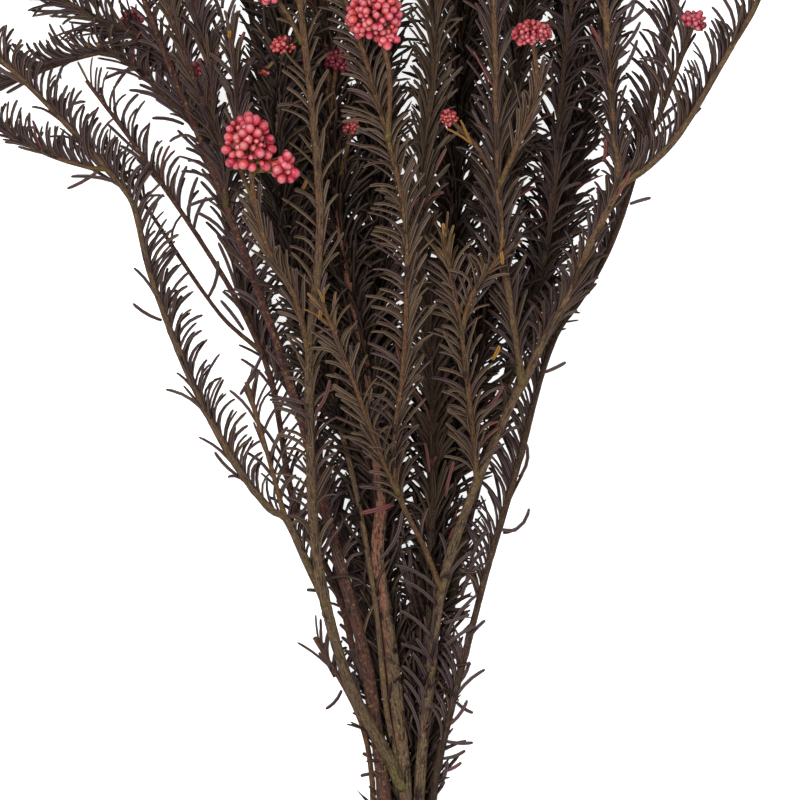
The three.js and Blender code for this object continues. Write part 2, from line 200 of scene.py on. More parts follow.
@dataclass
class Rods:
    """Many closed rods of one kind: rings of corners, with caps at both ends.

    Attributes:
        corners: The corners' places, by rod, ring and side.
        tint: Four values for each ring, or for each corner.
        along: The map's v of each ring.
    """

    corners: Array
    tint: Array
    along: Array

    def triangles(self) -> int:
        """Counts the triangles that the rods make."""
        rods, rings, sides = self.corners.shape[:3]
        return rods * (2 * (rings - 1) * sides + 2 * (sides - 2))

    def mesh(self, name: str) -> bpy.types.Object:
        """Makes one mesh object of the rods.

        Ring i of a rod joins ring i + 1 by one four-sided face a side, and the first and the last
        ring are closed by a face each. The map's u goes once round the ring and its v along it.

        Args:
            name: The object's name.

        Returns:
            The object, at the origin, smooth shaded.
        """
        rods, rings, sides = self.corners.shape[:3]
        start = (np.arange(rods) * rings * sides)[:, None, None]
        ring = (np.arange(rings - 1) * sides)[None, :, None]
        near = start + ring + np.arange(sides)[None, None, :]
        turn = start + ring + ((np.arange(sides) + 1) % sides)[None, None, :]
        walls = np.stack([near, turn, turn + sides, near + sides], axis=-1).reshape(-1, 4)
        foot = start[:, 0] + np.arange(sides)[::-1]
        head = start[:, 0] + (rings - 1) * sides + np.arange(sides)
        loops = np.concatenate([walls.ravel(), foot.ravel(), head.ravel()])
        totals = np.concatenate([np.full(len(walls), 4), np.full(2 * rods, sides)])
        share = np.arange(sides) / sides
        u = np.broadcast_to(np.stack([share, share + 1 / sides, share + 1 / sides, share], axis=-1),
                            (rods, rings - 1, sides, 4))
        nearer, further = self.along[:, :-1], self.along[:, 1:]
        v = np.stack([nearer, nearer, further, further], axis=-1)
        v = np.broadcast_to(v[:, :, None, :], (rods, rings - 1, sides, 4))
        ends = np.repeat(np.stack([self.along[:, 0], self.along[:, -1]]).ravel(), sides)
        cap_u = np.concatenate([np.tile(share[::-1], rods), np.tile(share, rods)])
        uv = np.column_stack([np.concatenate([u.ravel(), cap_u]), np.concatenate([v.ravel(), ends])])
        tint = self.tint if self.tint.ndim == 4 else self.tint[:, :, None, :]
        tint = np.broadcast_to(tint, (rods, rings, sides, 4)).reshape(-1, 4)
        return mesh_object(name, self.corners.reshape(-1, 3), loops, totals, uv, tint)


def mesh_object(name: str, points: Array, loops: Array, totals: Array, uv: Array,
                tint: Array) -> bpy.types.Object:
    """Puts arrays into a new mesh object.

    Args:
        name: The object's name.
        points: Corner places, one row each.
        loops: The corners of all faces, one after another.
        totals: How many corners each face has.
        uv: The map's u and v for each entry of loops.
        tint: Four values for each corner, read by the materials.

    Returns:
        The linked object.
    """
    made = bpy.data.meshes.new(name)
    made.vertices.add(len(points))
    made.vertices.foreach_set("co", points.astype(np.float32).ravel())
    made.loops.add(len(loops))
    made.loops.foreach_set("vertex_index", loops.astype(np.int32))
    made.polygons.add(len(totals))
    starts = np.concatenate([[0], np.cumsum(totals)[:-1]])
    made.polygons.foreach_set("loop_start", starts.astype(np.int32))
    made.polygons.foreach_set("loop_total", totals.astype(np.int32))
    made.uv_layers.new(name="skin").data.foreach_set("uv", uv.astype(np.float32).ravel())
    colours = made.attributes.new("tint", "FLOAT_COLOR", "POINT")
    colours.data.foreach_set("color", tint.astype(np.float32).ravel())
    made.update(calc_edges=True)
    made.shade_smooth()
    made.validate()
    piece = bpy.data.objects.new(name, made)
    bpy.context.scene.collection.objects.link(piece)
    return piece


# Shader node groups and finishes


class Nodes:
    """A short hand for placing and joining shader nodes in one tree."""

    def __init__(self, tree: bpy.types.NodeTree) -> None:
        """Keeps the tree.

        Args:
            tree: A material's node tree or a node group.
        """
        self.tree = tree

    def add(self, kind: str, **settings: object) -> bpy.types.Node:
        """Adds a node.

        Args:
            kind: The node's type name.
            settings: Properties to set on it.

        Returns:
            The node.
        """
        node = self.tree.nodes.new(kind)
        for key, value in settings.items():
            setattr(node, key, value)
        return node

    def join(self, source: object, target: object) -> None:
        """Joins an output to an input, or sets the input where the source is a plain value.

        Args:
            source: A node socket or a value.
            target: The input socket.
        """
        if isinstance(source, bpy.types.NodeSocket):
            self.tree.links.new(source, target)
        else:
            target.default_value = source

    def math(self, operation: str, a: object, b: object = 0.0, clamp: bool = False) -> bpy.types.NodeSocket:
        """Adds a Math node on two values.

        Args:
            operation: The Math node's operation.
            a: The first value or socket.
            b: The second value or socket.
            clamp: Whether the result is kept between 0 and 1.

        Returns:
            The result's socket.
        """
        node = self.add("ShaderNodeMath", operation=operation, use_clamp=clamp)
        self.join(a, node.inputs[0])
        self.join(b, node.inputs[1])
        return node.outputs[0]

    def blend(self, share: object, a: object, b: object) -> bpy.types.NodeSocket:
        """Mixes two colours.

        Args:
            share: How much of the second shows.
            a: The first colour's code or socket.
            b: The second colour's code or socket.

        Returns:
            The mixed colour's socket.
        """
        node = self.add("ShaderNodeMix", data_type="RGBA", clamp_factor=True)
        self.join(share, node.inputs["Factor"])
        for source, target in ((a, node.inputs[6]), (b, node.inputs[7])):
            self.join(linear(source) if isinstance(source, str) else source, target)
        return node.outputs[2]

    def ramp(self, value: object, stops: list[tuple[float, float]]) -> bpy.types.NodeSocket:
        """Reads a value through a grey ramp.

        Args:
            value: The socket to read.
            stops: Places on the ramp and the grey at each.

        Returns:
            The ramp's colour socket, which is grey.
        """
        node = self.add("ShaderNodeValToRGB")
        while len(node.color_ramp.elements) < len(stops):
            node.color_ramp.elements.new(0.5)
        for element, (place, grey) in zip(node.color_ramp.elements, stops):
            element.position = place
            element.color = (grey, grey, grey, 1.0)
        self.join(value, node.inputs[0])
        return node.outputs[0]

    def noise(self, vector: object, scale: object, detail: float) -> bpy.types.NodeSocket:
        """Adds a cloud of smooth noise.

        Args:
            vector: The socket that says where each point lies.
            scale: Waves to a unit of that, or their socket.
            detail: Octaves of finer noise.

        Returns:
            The noise value's socket.
        """
        node = self.add("ShaderNodeTexNoise")
        self.join(vector, node.inputs["Vector"])
        self.join(scale, node.inputs["Scale"])
        node.inputs["Detail"].default_value = detail
        return node.outputs["Fac"]

    def tint(self) -> tuple[bpy.types.NodeSocket, ...]:
        """Reads the tint attribute.

        Returns:
            The sockets of its red, green, blue and alpha.
        """
        tint = self.add("ShaderNodeAttribute", attribute_name="tint")
        parts = self.add("ShaderNodeSeparateColor")
        self.join(tint.outputs["Color"], parts.inputs[0])
        return (*(parts.outputs[key] for key in ("Red", "Green", "Blue")), tint.outputs["Alpha"])

    def skin(self) -> tuple[bpy.types.NodeSocket, bpy.types.NodeSocket]:
        """Reads the skin map.

        Returns:
            The sockets of u, once round the piece, and of v, along it.
        """
        skin = self.add("ShaderNodeUVMap", uv_map="skin")
        parts = self.add("ShaderNodeSeparateXYZ")
        self.join(skin.outputs["UV"], parts.inputs[0])
        return parts.outputs["X"], parts.outputs["Y"]


def group(name: str, inputs: dict[str, float],
          outputs: list[str]) -> tuple[Nodes, bpy.types.Node, bpy.types.Node]:
    """Starts a shader node group of plain values.

    Args:
        name: The group's name.
        inputs: Its inputs and their usual values.
        outputs: Its outputs.

    Returns:
        The group's nodes, its input node and its output node.
    """
    tree = bpy.data.node_groups.new(name, "ShaderNodeTree")
    for key, value in inputs.items():
        socket = tree.interface.new_socket(name=key, in_out="INPUT", socket_type="NodeSocketFloat")
        socket.default_value = value
    for key in outputs:
        tree.interface.new_socket(name=key, in_out="OUTPUT", socket_type="NodeSocketFloat")
    nodes = Nodes(tree)
    return nodes, nodes.add("NodeGroupInput"), nodes.add("NodeGroupOutput")


def mottle_group() -> bpy.types.NodeTree:
    """Makes the group for blotches: two clouds of different size on the Object coordinates, added.

    The mask is 0.5 + 2.6 * Contrast * (mean of the clouds - 0.5), kept between 0 and 1, because
    noise seldom strays further than 0.2 from its middle.

    Returns:
        The group, with output Mask from 0 to 1.
    """
    nodes, given, out = group("mottle", {"Coarse": 120.0, "Fine": 900.0, "Contrast": 1.0}, ["Mask"])
    place = nodes.add("ShaderNodeTexCoord").outputs["Object"]
    coarse = nodes.noise(place, given.outputs["Coarse"], 2.0)
    fine = nodes.noise(place, given.outputs["Fine"], 3.0)
    mean = nodes.math("MULTIPLY", nodes.math("ADD", coarse, fine), 0.5)
    swing = nodes.math("MULTIPLY", nodes.math("SUBTRACT", mean, 0.5), given.outputs["Contrast"])
    mask = nodes.math("ADD", nodes.math("MULTIPLY", swing, 2.6), 0.5, clamp=True)
    nodes.join(mask, out.inputs["Mask"])
    return nodes.tree


def fibre_group() -> bpy.types.NodeTree:
    """Makes the group for fibres: noise on the skin map, drawn out along the stem or leaf.

    The map's u is wound round a circle of circumference Round, so that the noise meets itself, and
    its v is multiplied by Along.

    Returns:
        The group, with output Height from 0 to 1.
    """
    nodes, given, out = group("fibres", {"Round": 9.0, "Along": 260.0, "Scale": 1.0}, ["Height"])
    around, along = nodes.skin()
    turn = nodes.math("MULTIPLY", around, 2 * math.pi)
    reach = nodes.math("DIVIDE", given.outputs["Round"], 2 * math.pi)
    place = nodes.add("ShaderNodeCombineXYZ")
    nodes.join(nodes.math("MULTIPLY", nodes.math("COSINE", turn), reach), place.inputs["X"])
    nodes.join(nodes.math("MULTIPLY", nodes.math("SINE", turn), reach), place.inputs["Y"])
    nodes.join(nodes.math("MULTIPLY", along, given.outputs["Along"]), place.inputs["Z"])
    nodes.join(nodes.noise(place.outputs[0], given.outputs["Scale"], 4.0), out.inputs["Height"])
    return nodes.tree


@dataclass(frozen=True)
class Finish:
    """What every finish has: a name and a roughness."""

    name: str
    roughness: float

    def start(self) -> tuple[bpy.types.Material, Nodes, bpy.types.Node]:
        """Makes the empty material.

        Returns:
            The material, its nodes and its Principled shader.
        """
        material = bpy.data.materials.new(self.name)
        material.use_nodes = True
        nodes = Nodes(material.node_tree)
        shader = next(n for n in nodes.tree.nodes if n.type == "BSDF_PRINCIPLED")
        shader.inputs["Roughness"].default_value = self.roughness
        return material, nodes, shader

    def place_group(self, nodes: Nodes, name: str, **values: float) -> bpy.types.NodeSocket:
        """Places a node group with its own values.

        Args:
            nodes: The material's nodes.
            name: The group's name.
            values: Its inputs.

        Returns:
            The socket of the group's output.
        """
        node = nodes.add("ShaderNodeGroup", node_tree=bpy.data.node_groups[name])
        for key, value in values.items():
            node.inputs[key].default_value = value
        return node.outputs[0]

    def bump(self, nodes: Nodes, shader: bpy.types.Node, height: object, depth: float,
             strength: float) -> None:
        """Lets a height raise the surface in its shading.

        Args:
            nodes: The material's nodes.
            shader: Its Principled shader.
            height: The socket of the height.
            depth: What a height of 1 measures, in metres.
            strength: How much of it shows.
        """
        node = nodes.add("ShaderNodeBump")
        node.inputs["Distance"].default_value = depth
        node.inputs["Strength"].default_value = strength
        nodes.join(height, node.inputs["Height"])
        nodes.join(node.outputs["Normal"], shader.inputs["Normal"])


@dataclass(frozen=True)
class LeafFinish(Finish):
    """Dried needle leaves, dulled olive to purple brown: painted shade in the furrow, painted highlights on
    the ridges.
    """

    olive: str = "4b3c28"
    brown: str = "402c27"
    purple: str = "3b292b"
    ridge_highlight: str = "7d6654"
    purple_ridge_highlight: str = "84706c"
    ochre: str = "a8782c"
    red: str = "8a4744"
    shade: str = "18100e"

    def material(self) -> bpy.types.Material:
        """Makes the material.

        The tint's red picks the hue of each leaf, green says how far out on the leaf a point lies,
        blue how ochre it is and alpha how red, or below 0 how dark.

        Returns:
            The material.
        """
        material, nodes, shader = self.start()
        pick, reach, ochre, red = nodes.tint()
        mottle = self.place_group(nodes, "mottle", Coarse=90.0, Fine=1100.0, Contrast=1.0)
        stray = nodes.math("MULTIPLY", nodes.math("SUBTRACT", mottle, 0.5), 0.5)
        hue = nodes.math("ADD", pick, stray, clamp=True)
        browner = nodes.ramp(hue, [(0.0, 0.0), (0.5, 1.0)])
        colour = nodes.blend(browner, self.purple, self.brown)
        colour = nodes.blend(nodes.ramp(hue, [(0.5, 0.0), (1.0, 1.0)]), colour, self.olive)
        across = nodes.skin()[0]
        # painted highlight: paler ridges along each leaf, weaker on purple leaves, cool on purple ones and
        # warm on olive ones
        ridge_highlight = nodes.ramp(across, [(0.0, 0.25), (0.16, 0.6), (0.26, 0.0), (0.4, 0.0), (0.5, 0.6),
                                    (0.68, 0.15), (0.84, 0.0), (1.0, 0.25)])
        ridge_highlight = nodes.math("MULTIPLY", ridge_highlight, nodes.ramp(hue, [(0.0, 0.45), (0.8, 1.0)]))
        warmer = nodes.ramp(hue, [(0.1, 0.0), (0.6, 1.0)])
        colour = nodes.blend(ridge_highlight, colour, nodes.blend(warmer, self.purple_ridge_highlight, self.ridge_highlight))
        colour = nodes.blend(ochre, colour, self.ochre)
        colour = nodes.blend(red, colour, self.red)
        # painted shade: darker down the furrow of each leaf and near its root, where it meets the shoot; a
        # tint alpha below 0 darkens whole leaves
        groove_shade = nodes.ramp(across, [(0.2, 0.0), (0.33, 0.7), (0.46, 0.0), (0.7, 0.0), (0.84, 0.5),
                                     (1.0, 0.0)])
        root = nodes.ramp(reach, [(0.0, 0.35), (0.25, 0.0)])
        dim = nodes.math("MULTIPLY", red, -1.0, clamp=True)
        dark = nodes.math("MAXIMUM", nodes.math("MAXIMUM", groove_shade, root), dim)
        colour = nodes.blend(dark, colour, self.shade)
        nodes.join(colour, shader.inputs["Base Color"])
        shader.inputs["Specular IOR Level"].default_value = 0.25
        fibres = self.place_group(nodes, "fibres", Round=7.0, Along=300.0)
        self.bump(nodes, shader, fibres, 0.2 * MM, 0.5)
        return material


@dataclass(frozen=True)
class BarkFinish(Finish):
    """Thin dry bark: short flakes of two colours, dark cracks, fine pale flecks, painted shade at the foot.
    """

    light: str = "705b45"
    dark: str = "3a2a23"
    other: str = "965f50"
    crack_and_shade: str = "17100e"
    fleck: str = "94793f"
    twig: str = "7c5437"
    moss: str = "77702a"
    heart: str = "8f7650"
    pith: str = "b59c70"

    def material(self) -> bpy.types.Material:
        """Makes the material.

        The tint's red says how much of the other colour shows, green how warm and twig-like the
        bark is, blue how dark it is, from the shoot's own darkness and painted shade near the foot, and
        alpha how mossy, or below 0 where the wood is sawn across.

        Returns:
            The material.
        """
        material, nodes, shader = self.start()
        redness, warmth, shade, moss = nodes.tint()
        grain = self.place_group(nodes, "fibres", Round=26.0, Along=900.0)
        strands = self.place_group(nodes, "fibres", Round=20.0, Along=210.0)
        broad = self.place_group(nodes, "fibres", Round=5.0, Along=75.0)
        mottle = self.place_group(nodes, "mottle", Coarse=700.0, Fine=2600.0, Contrast=1.2)
        flakes = nodes.math("MULTIPLY", nodes.math("ADD", grain, strands), 0.5)
        patch = nodes.math("ADD", nodes.math("MULTIPLY", nodes.math("ADD", broad, flakes), 0.5),
                           nodes.math("SUBTRACT", redness, 0.5))
        other = nodes.ramp(patch, [(0.44, 0.0), (0.56, 0.9)])
        colour = nodes.blend(other, self.light, self.other)
        colour = nodes.blend(warmth, colour, self.twig)
        colour = nodes.blend(nodes.ramp(flakes, [(0.4, 0.9), (0.56, 0.0)]), colour, self.dark)
        colour = nodes.blend(nodes.ramp(mottle, [(0.66, 0.0), (0.86, 0.7)]), colour, self.fleck)
        tufts = nodes.math("MULTIPLY", moss, nodes.ramp(grain, [(0.35, 0.3), (0.6, 1.0)]))
        colour = nodes.blend(tufts, colour, self.moss)
        colour = nodes.blend(nodes.ramp(strands, [(0.33, 0.95), (0.42, 0.0)]), colour, self.crack_and_shade)
        # painted shade near the foot, on top of the shoot's own darker bark, in the colour of the cracks
        colour = nodes.blend(shade, colour, self.crack_and_shade)
        sawn = nodes.math("MULTIPLY", moss, -1.0, clamp=True)
        colour = nodes.blend(sawn, colour, nodes.blend(mottle, self.heart, self.pith))
        nodes.join(colour, shader.inputs["Base Color"])
        shader.inputs["Specular IOR Level"].default_value = 0.3
        height = nodes.math("ADD", flakes, nodes.math("MULTIPLY", mottle, 0.4))
        self.bump(nodes, shader, height, 1.2 * MM, 0.9)
        return material


@dataclass(frozen=True)
class BudFinish(Finish):
    """Papery round buds, raspberry to coral: painted highlight at the tip, painted shade round the outline.
    """

    deep: str = "a31f3c"
    coral: str = "cf4657"
    pale: str = "f5a8ac"
    edge_shade: str = "74142a"
    dull_and_shade: str = "66202c"
    orange: str = "c0472f"

    def material(self) -> bpy.types.Material:
        """Makes the material.

        The tint's red picks the hue of each bud, green is 1 at the bud's tip, where a painted highlight
        lies, blue is how much duller and darker it is, partly from painted shade, and alpha how orange.
        Painted shade darkens buds towards their outline, where the light grazes them.

        Returns:
            The material.
        """
        material, nodes, shader = self.start()
        pick, tip, dull_and_shade, orange = nodes.tint()
        mottle = self.place_group(nodes, "mottle", Coarse=500.0, Fine=1500.0, Contrast=1.3)
        stray = nodes.math("MULTIPLY", nodes.math("SUBTRACT", mottle, 0.5), 0.8)
        hue = nodes.math("ADD", pick, stray, clamp=True)
        colour = nodes.blend(hue, self.deep, self.coral)
        colour = nodes.blend(orange, colour, self.orange)
        # painted highlight: paler towards each bud's tip
        colour = nodes.blend(nodes.ramp(tip, [(0.6, 0.0), (1.0, 0.45)]), colour, self.pale)
        # the buds' own dullness, and painted shade on heads deep among the leaves
        colour = nodes.blend(dull_and_shade, colour, self.dull_and_shade)
        # painted shade: darker where a bud's surface turns away from the camera
        weight = nodes.add("ShaderNodeLayerWeight")
        weight.inputs["Blend"].default_value = 0.45
        rim_shade = nodes.ramp(weight.outputs["Facing"], [(0.22, 0.0), (0.85, 0.9)])
        colour = nodes.blend(rim_shade, colour, self.edge_shade)
        nodes.join(colour, shader.inputs["Base Color"])
        self.bump(nodes, shader, mottle, 0.3 * MM, 0.6)
        return material


@dataclass(frozen=True)
class PlainFinish(Finish):
    """One dry colour with blotches of a second, for the stalks of the buds."""

    light: str = "8d7a3c"
    dark: str = "4d3a22"

    def material(self) -> bpy.types.Material:
        """Makes the material.

        Returns:
            The material.
        """
        material, nodes, shader = self.start()
        mottle = self.place_group(nodes, "mottle", Coarse=400.0, Fine=1500.0, Contrast=1.2)
        nodes.join(nodes.blend(mottle, self.dark, self.light), shader.inputs["Base Color"])
        self.bump(nodes, shader, mottle, 0.2 * MM, 0.5)
        return material


@dataclass(frozen=True)
class FloorFinish(Finish):
    """A pale studio floor that stays bright in the picture and keeps faint shadows."""

    colour: str = "f4f3f1"
    glow: float = 0.82

    def material(self) -> bpy.types.Material:
        """Makes the material. Rays from the camera see a glow added to the lit floor.

        Returns:
            The material.
        """
        material, nodes, shader = self.start()
        shader.inputs["Base Color"].default_value = linear(self.colour)
        shader.inputs["Specular IOR Level"].default_value = 0.0
        glow = nodes.add("ShaderNodeEmission")
        glow.inputs["Strength"].default_value = self.glow
        plus = nodes.add("ShaderNodeAddShader")
        nodes.join(shader.outputs[0], plus.inputs[0])
        nodes.join(glow.outputs[0], plus.inputs[1])
        ray = nodes.add("ShaderNodeLightPath")
        mix = nodes.add("ShaderNodeMixShader")
        nodes.join(ray.outputs["Is Camera Ray"], mix.inputs[0])
        nodes.join(shader.outputs[0], mix.inputs[1])
        nodes.join(plus.outputs[0], mix.inputs[2])
        out = next(n for n in nodes.tree.nodes if n.type == "OUTPUT_MATERIAL")
        nodes.join(mix.outputs[0], out.inputs["Surface"])
        return material


@dataclass
class Finishes:
    """Every material of the bunch, made once."""

    leaf: bpy.types.Material
    # painted shade: a darker copy of the leaf material for the leaves inside the bunch
    deep_leaf: bpy.types.Material
    bark: dict[Bark, bpy.types.Material]
    bud: bpy.types.Material
    stalk: bpy.types.Material

    @classmethod
    def make(cls) -> "Finishes":
        """Makes the node groups and then the materials.

        Returns:
            The materials.
        """
        mottle_group()
        fibre_group()
        bark = {
            Bark.OLIVE: BarkFinish("bark olive", 0.8),
            Bark.RED: BarkFinish("bark red", 0.75, light="5b392f", dark="331c20", other="663439",
                                 twig="5c3a30"),
            Bark.DARK: BarkFinish("bark dark", 0.8, light="48362b", dark="251b18", other="4a2b29",
                                  fleck="6d5a38", twig="5c412f"),
        }
        # painted shade: the leaves inside the bunch get a darker copy of the leaf colours
        deep = LeafFinish("shaded inner leaf", 0.6, olive="413121", brown="35271f", purple="281c1b",
                          ridge_highlight="5b4939", purple_ridge_highlight="584642")
        return cls(
            leaf=LeafFinish("leaf", 0.55).material(),
            deep_leaf=deep.material(),
            bark={kind: finish.material() for kind, finish in bark.items()},
            bud=BudFinish("bud", 0.24).material(),
            stalk=PlainFinish("flower stalk", 0.7).material(),
        )


# The plant


@dataclass(frozen=True)
class Head:
    """A flower head: its size, its buds and how far leaves keep away from it.

    Attributes:
        across: Half its width, in millimetres.
        along: Half its height along its shoot, in millimetres.
        bud: The usual width of a bud, in millimetres.
        dull_and_shade: How much duller and darker its buds are: their own dullness and painted shade, from
            0 to 1.
        lobe: Where a second, smaller dome lies from the first, in millimetres, or None.
        lobe_share: The size of that dome as a share of the first.
        seen: How far leaves in front of the head keep off its middle, as a share of its reach.
        orange: How orange its buds are, from 0 to 1.
        rings: How many rings of corners a bud has.
        sides: How many corners a ring has.
    """

    across: float = 8.6
    along: float = 7.8
    bud: float = 2.4
    dull_and_shade: float = 0.0
    lobe: Point | None = None
    lobe_share: float = 0.6
    seen: float = 0.0
    orange: float = 0.0
    rings: int = 6
    sides: int = 8


LARGE = Head()
SMALL = Head(4.6, 4.4, 1.9, 0.25, seen=0.7)
HIDDEN = Head(4.6, 4.4, 1.9, 0.95)
DEEP = Head(4.6, 4.4, 1.9, 0.2)
TINY = Head(3.2, 3.4, 1.5, 0.25, seen=0.8, orange=0.65)
FRONT_SMALL = Head(4.4, 4.0, 1.9, 0.2, (-6.4, -8.4, 0.0), 0.55, seen=1.2, orange=0.55)
FRONT_LARGEST = Head(9.2, 11.9, 3.3, 0.0, (11.8, -7.2, 1.0), orange=0.15, rings=8, sides=10)
FRONT_TOP = Head(10.0, 9.0, 2.8, 0.0, (4.6, -7.0, 0.5), 0.5, orange=0.3, rings=8, sides=10)
FRONT_FLAT = Head(7.2, 4.6, 2.0, 0.1, orange=0.4, rings=7, sides=9)
FRONT_HIGH = Head(6.0, 4.4, 3.2, rings=7, sides=9)
OUTER_SMALL = Head(4.6, 4.4, 2.3, 0.1, seen=0.9)


@dataclass(frozen=True)
class LeafForm:
    """The cross section of a leaf and the rings that it is laid through.

    Attributes:
        section: Each corner's place across the leaf and above its middle, in widths.
        rings: How far along the leaf each ring is, from 0 to 1.
        fullness: Each ring's size as a share of the section.
    """

    section: tuple[tuple[float, float], ...]
    rings: tuple[float, ...]
    fullness: tuple[float, ...]

    def rods(self, root: Array, start: Array, finish: Array, face: Array, length: Array, width: Array,
             twist: Array, tint: Array) -> Rods:
        """Makes leaves as closed rods.

        A leaf's middle line is root + length * (start * (s - s * s / 2) + finish * s * s / 2) for s
        from 0 to 1, so it sets off along start and ends along finish.

        Args:
            root: Where each leaf begins.
            start: Its first direction.
            finish: Its last direction.
            face: Roughly where its upper face looks.
            length: Its length.
            width: Its full width.
            twist: How far it turns round its own run from root to tip.
            tint: Four values for its colour, of which the second is set here.

        Returns:
            The rods.
        """
        rings = np.array(self.rings)
        section = np.array(self.section)
        s = rings[None, :, None]
        run = start[:, None] * (s - s * s / 2) + finish[:, None] * s * s / 2
        middle = root[:, None] + length[:, None, None] * run
        tangent = unit(start[:, None] * (1 - s) + finish[:, None] * s)
        across = unit(np.cross(tangent, face[:, None]))
        top = np.cross(across, tangent)
        angle = (twist[:, None] * rings[None, :])[..., None]
        cosine, sine = np.cos(angle), np.sin(angle)
        across, top = across * cosine + top * sine, top * cosine - across * sine
        size = (width[:, None] * np.array(self.fullness))[..., None, None]
        outline = section[:, :1] * across[:, :, None] + section[:, 1:] * top[:, :, None]
        corners = middle[:, :, None] + size * outline
        corners[..., 2] = np.maximum(corners[..., 2], SURFACE)
        colours = np.repeat(tint[:, None], len(rings), axis=1)
        colours[..., 1] = rings
        return Rods(corners, colours, length[:, None] * rings)


GROOVED = LeafForm(((-0.5, 0.02), (-0.27, 0.27), (0.0, 0.13), (0.27, 0.27), (0.5, 0.02), (0.0, -0.34)),
                   (0.0, 0.12, 0.36, 0.62, 0.86, 0.97, 1.0), (0.75, 0.92, 1.0, 1.0, 0.97, 0.75, 0.34))
PLAIN = LeafForm(((-0.5, -0.12), (0.0, 0.34), (0.5, -0.12)),
                 (0.0, 0.3, 0.6, 0.88, 1.0), (0.8, 1.0, 1.0, 0.95, 0.4))


@dataclass(frozen=True)
class LeafHabit:
    """How needle leaves are spaced, sized and held.

    Angles are in radians from the shoot's run. A leaf's swing is towards 1 on the side of a slanting
    shoot that faces the flower end and towards -1 on the other side.

    Attributes:
        form: The leaves' form.
        to_a_metre: How many there are to a metre before any are left out.
        start: The angle at a leaf's root.
        start_swing: What the swing adds to it.
        finish: The angle at its tip.
        finish_swing: What the swing adds to it.
        spread: How far the tips stray.
        to_sides: How far leaves crowd at the two sides of the shoot. At 0 they go evenly round it.
        bare_front: The share of leaves left out at the front.
        bare_below: The share left out on the side that faces the cut end.
        length: Their usual length, in metres.
        width: Their usual width, in metres.
        olive: Their usual hue, from purple at 0 to olive at 1.
        to_left: How much further leaves on the shoot's left swing.
        at_foot: The share of leaves kept at the shoot's root.
        fresh: How ochre the leaves at a young tip can be.
        loose: How far the angle at the root and the length stray.
        closing: How much closer to the shoot the leaves below its leafy part are held.
        dim: How dark the leaves are, from 0 to 1.
        scatter: How far a leaf strays from its even place along and round the shoot.
    """

    form: LeafForm
    to_a_metre: float
    start: float
    start_swing: float
    finish: float
    finish_swing: float
    spread: float = 0.3
    to_sides: float = 0.3
    bare_front: float = 0.45
    bare_below: float = 0.0
    length: float = 13.0 * MM
    width: float = 1.25 * MM
    olive: float = 0.75
    to_left: float = 0.5
    at_foot: float = 1.0
    fresh: float = 0.6
    loose: float = 0.16
    closing: float = 0.6
    dim: float = 0.0
    scatter: float = 0.9


FRONT = LeafHabit(GROOVED, 1100, 0.42, 0.2, 0.95, 0.4)
PRESSED = LeafHabit(GROOVED, 1100, 0.12, 0.1, 0.42, 0.2, spread=0.15, olive=0.8)
ARCHED = LeafHabit(GROOVED, 1250, 0.46, 0.25, 1.1, 0.5, spread=0.2, length=14.5 * MM, olive=0.7,
                   to_left=0.9)
MOSSY = LeafHabit(GROOVED, 620, 0.35, 0.3, 1.05, 0.6, bare_front=0.85, length=14 * MM, olive=0.85,
                  to_left=0.6)
UPRIGHT = LeafHabit(GROOVED, 950, 0.3, 0.12, 0.62, 0.2, spread=0.16, length=15.5 * MM, olive=0.3,
                    to_left=0.3, dim=0.32)
WOODY = LeafHabit(GROOVED, 1500, 0.42, 0.25, 0.95, 0.5, bare_front=0.8, bare_below=0.5, olive=0.15,
                  to_left=0, at_foot=0.6, fresh=0.2)
OUTER = LeafHabit(GROOVED, 2300, 0.32, 0.2, 0.95, 0.55, spread=0.22, bare_below=0.93, length=15 * MM,
                  olive=0.12, to_left=0, at_foot=0.55, fresh=0.15, loose=0.12, scatter=0.3)
SHORT = LeafHabit(GROOVED, 2500, 0.4, 0.25, 0.95, 0.5, spread=0.26, bare_below=0.9, length=12 * MM,
                  olive=0.12, to_left=0, at_foot=0.9, fresh=0.15, loose=0.1, scatter=0.3)
SWEPT = LeafHabit(GROOVED, 2000, 0.3, 0.15, 0.85, 0.4, spread=0.14, bare_below=1.0, length=17 * MM,
                  olive=0.15, to_left=0, at_foot=0.8, fresh=0.15, loose=0.1, scatter=0.25)
BROAD = LeafHabit(GROOVED, 1250, 0.3, 0.12, 0.75, 0.2, spread=0.25, bare_front=0.2, length=16 * MM,
                  olive=0.9, to_left=0.2, dim=0.35)
CLOSE = LeafHabit(GROOVED, 1700, 0.22, 0.1, 0.62, 0.3, spread=0.2, bare_front=0.15, bare_below=0.5,
                  width=1.35 * MM, olive=0.4, to_left=0, fresh=0.2, dim=0.32)
LATTICE = LeafHabit(GROOVED, 1500, 0.45, 0.15, 1.0, 0.3, spread=0.5, length=15 * MM, width=1.15 * MM,
                    olive=0.25, to_left=0, fresh=0.2, loose=0.3, dim=0.35)
INNER = LeafHabit(PLAIN, 3200, 0.42, 0.1, 0.85, 0.2, spread=0.6, bare_front=0, length=18.5 * MM,
                  width=1.4 * MM, olive=0.4, to_left=0, loose=0.3, closing=0.2)


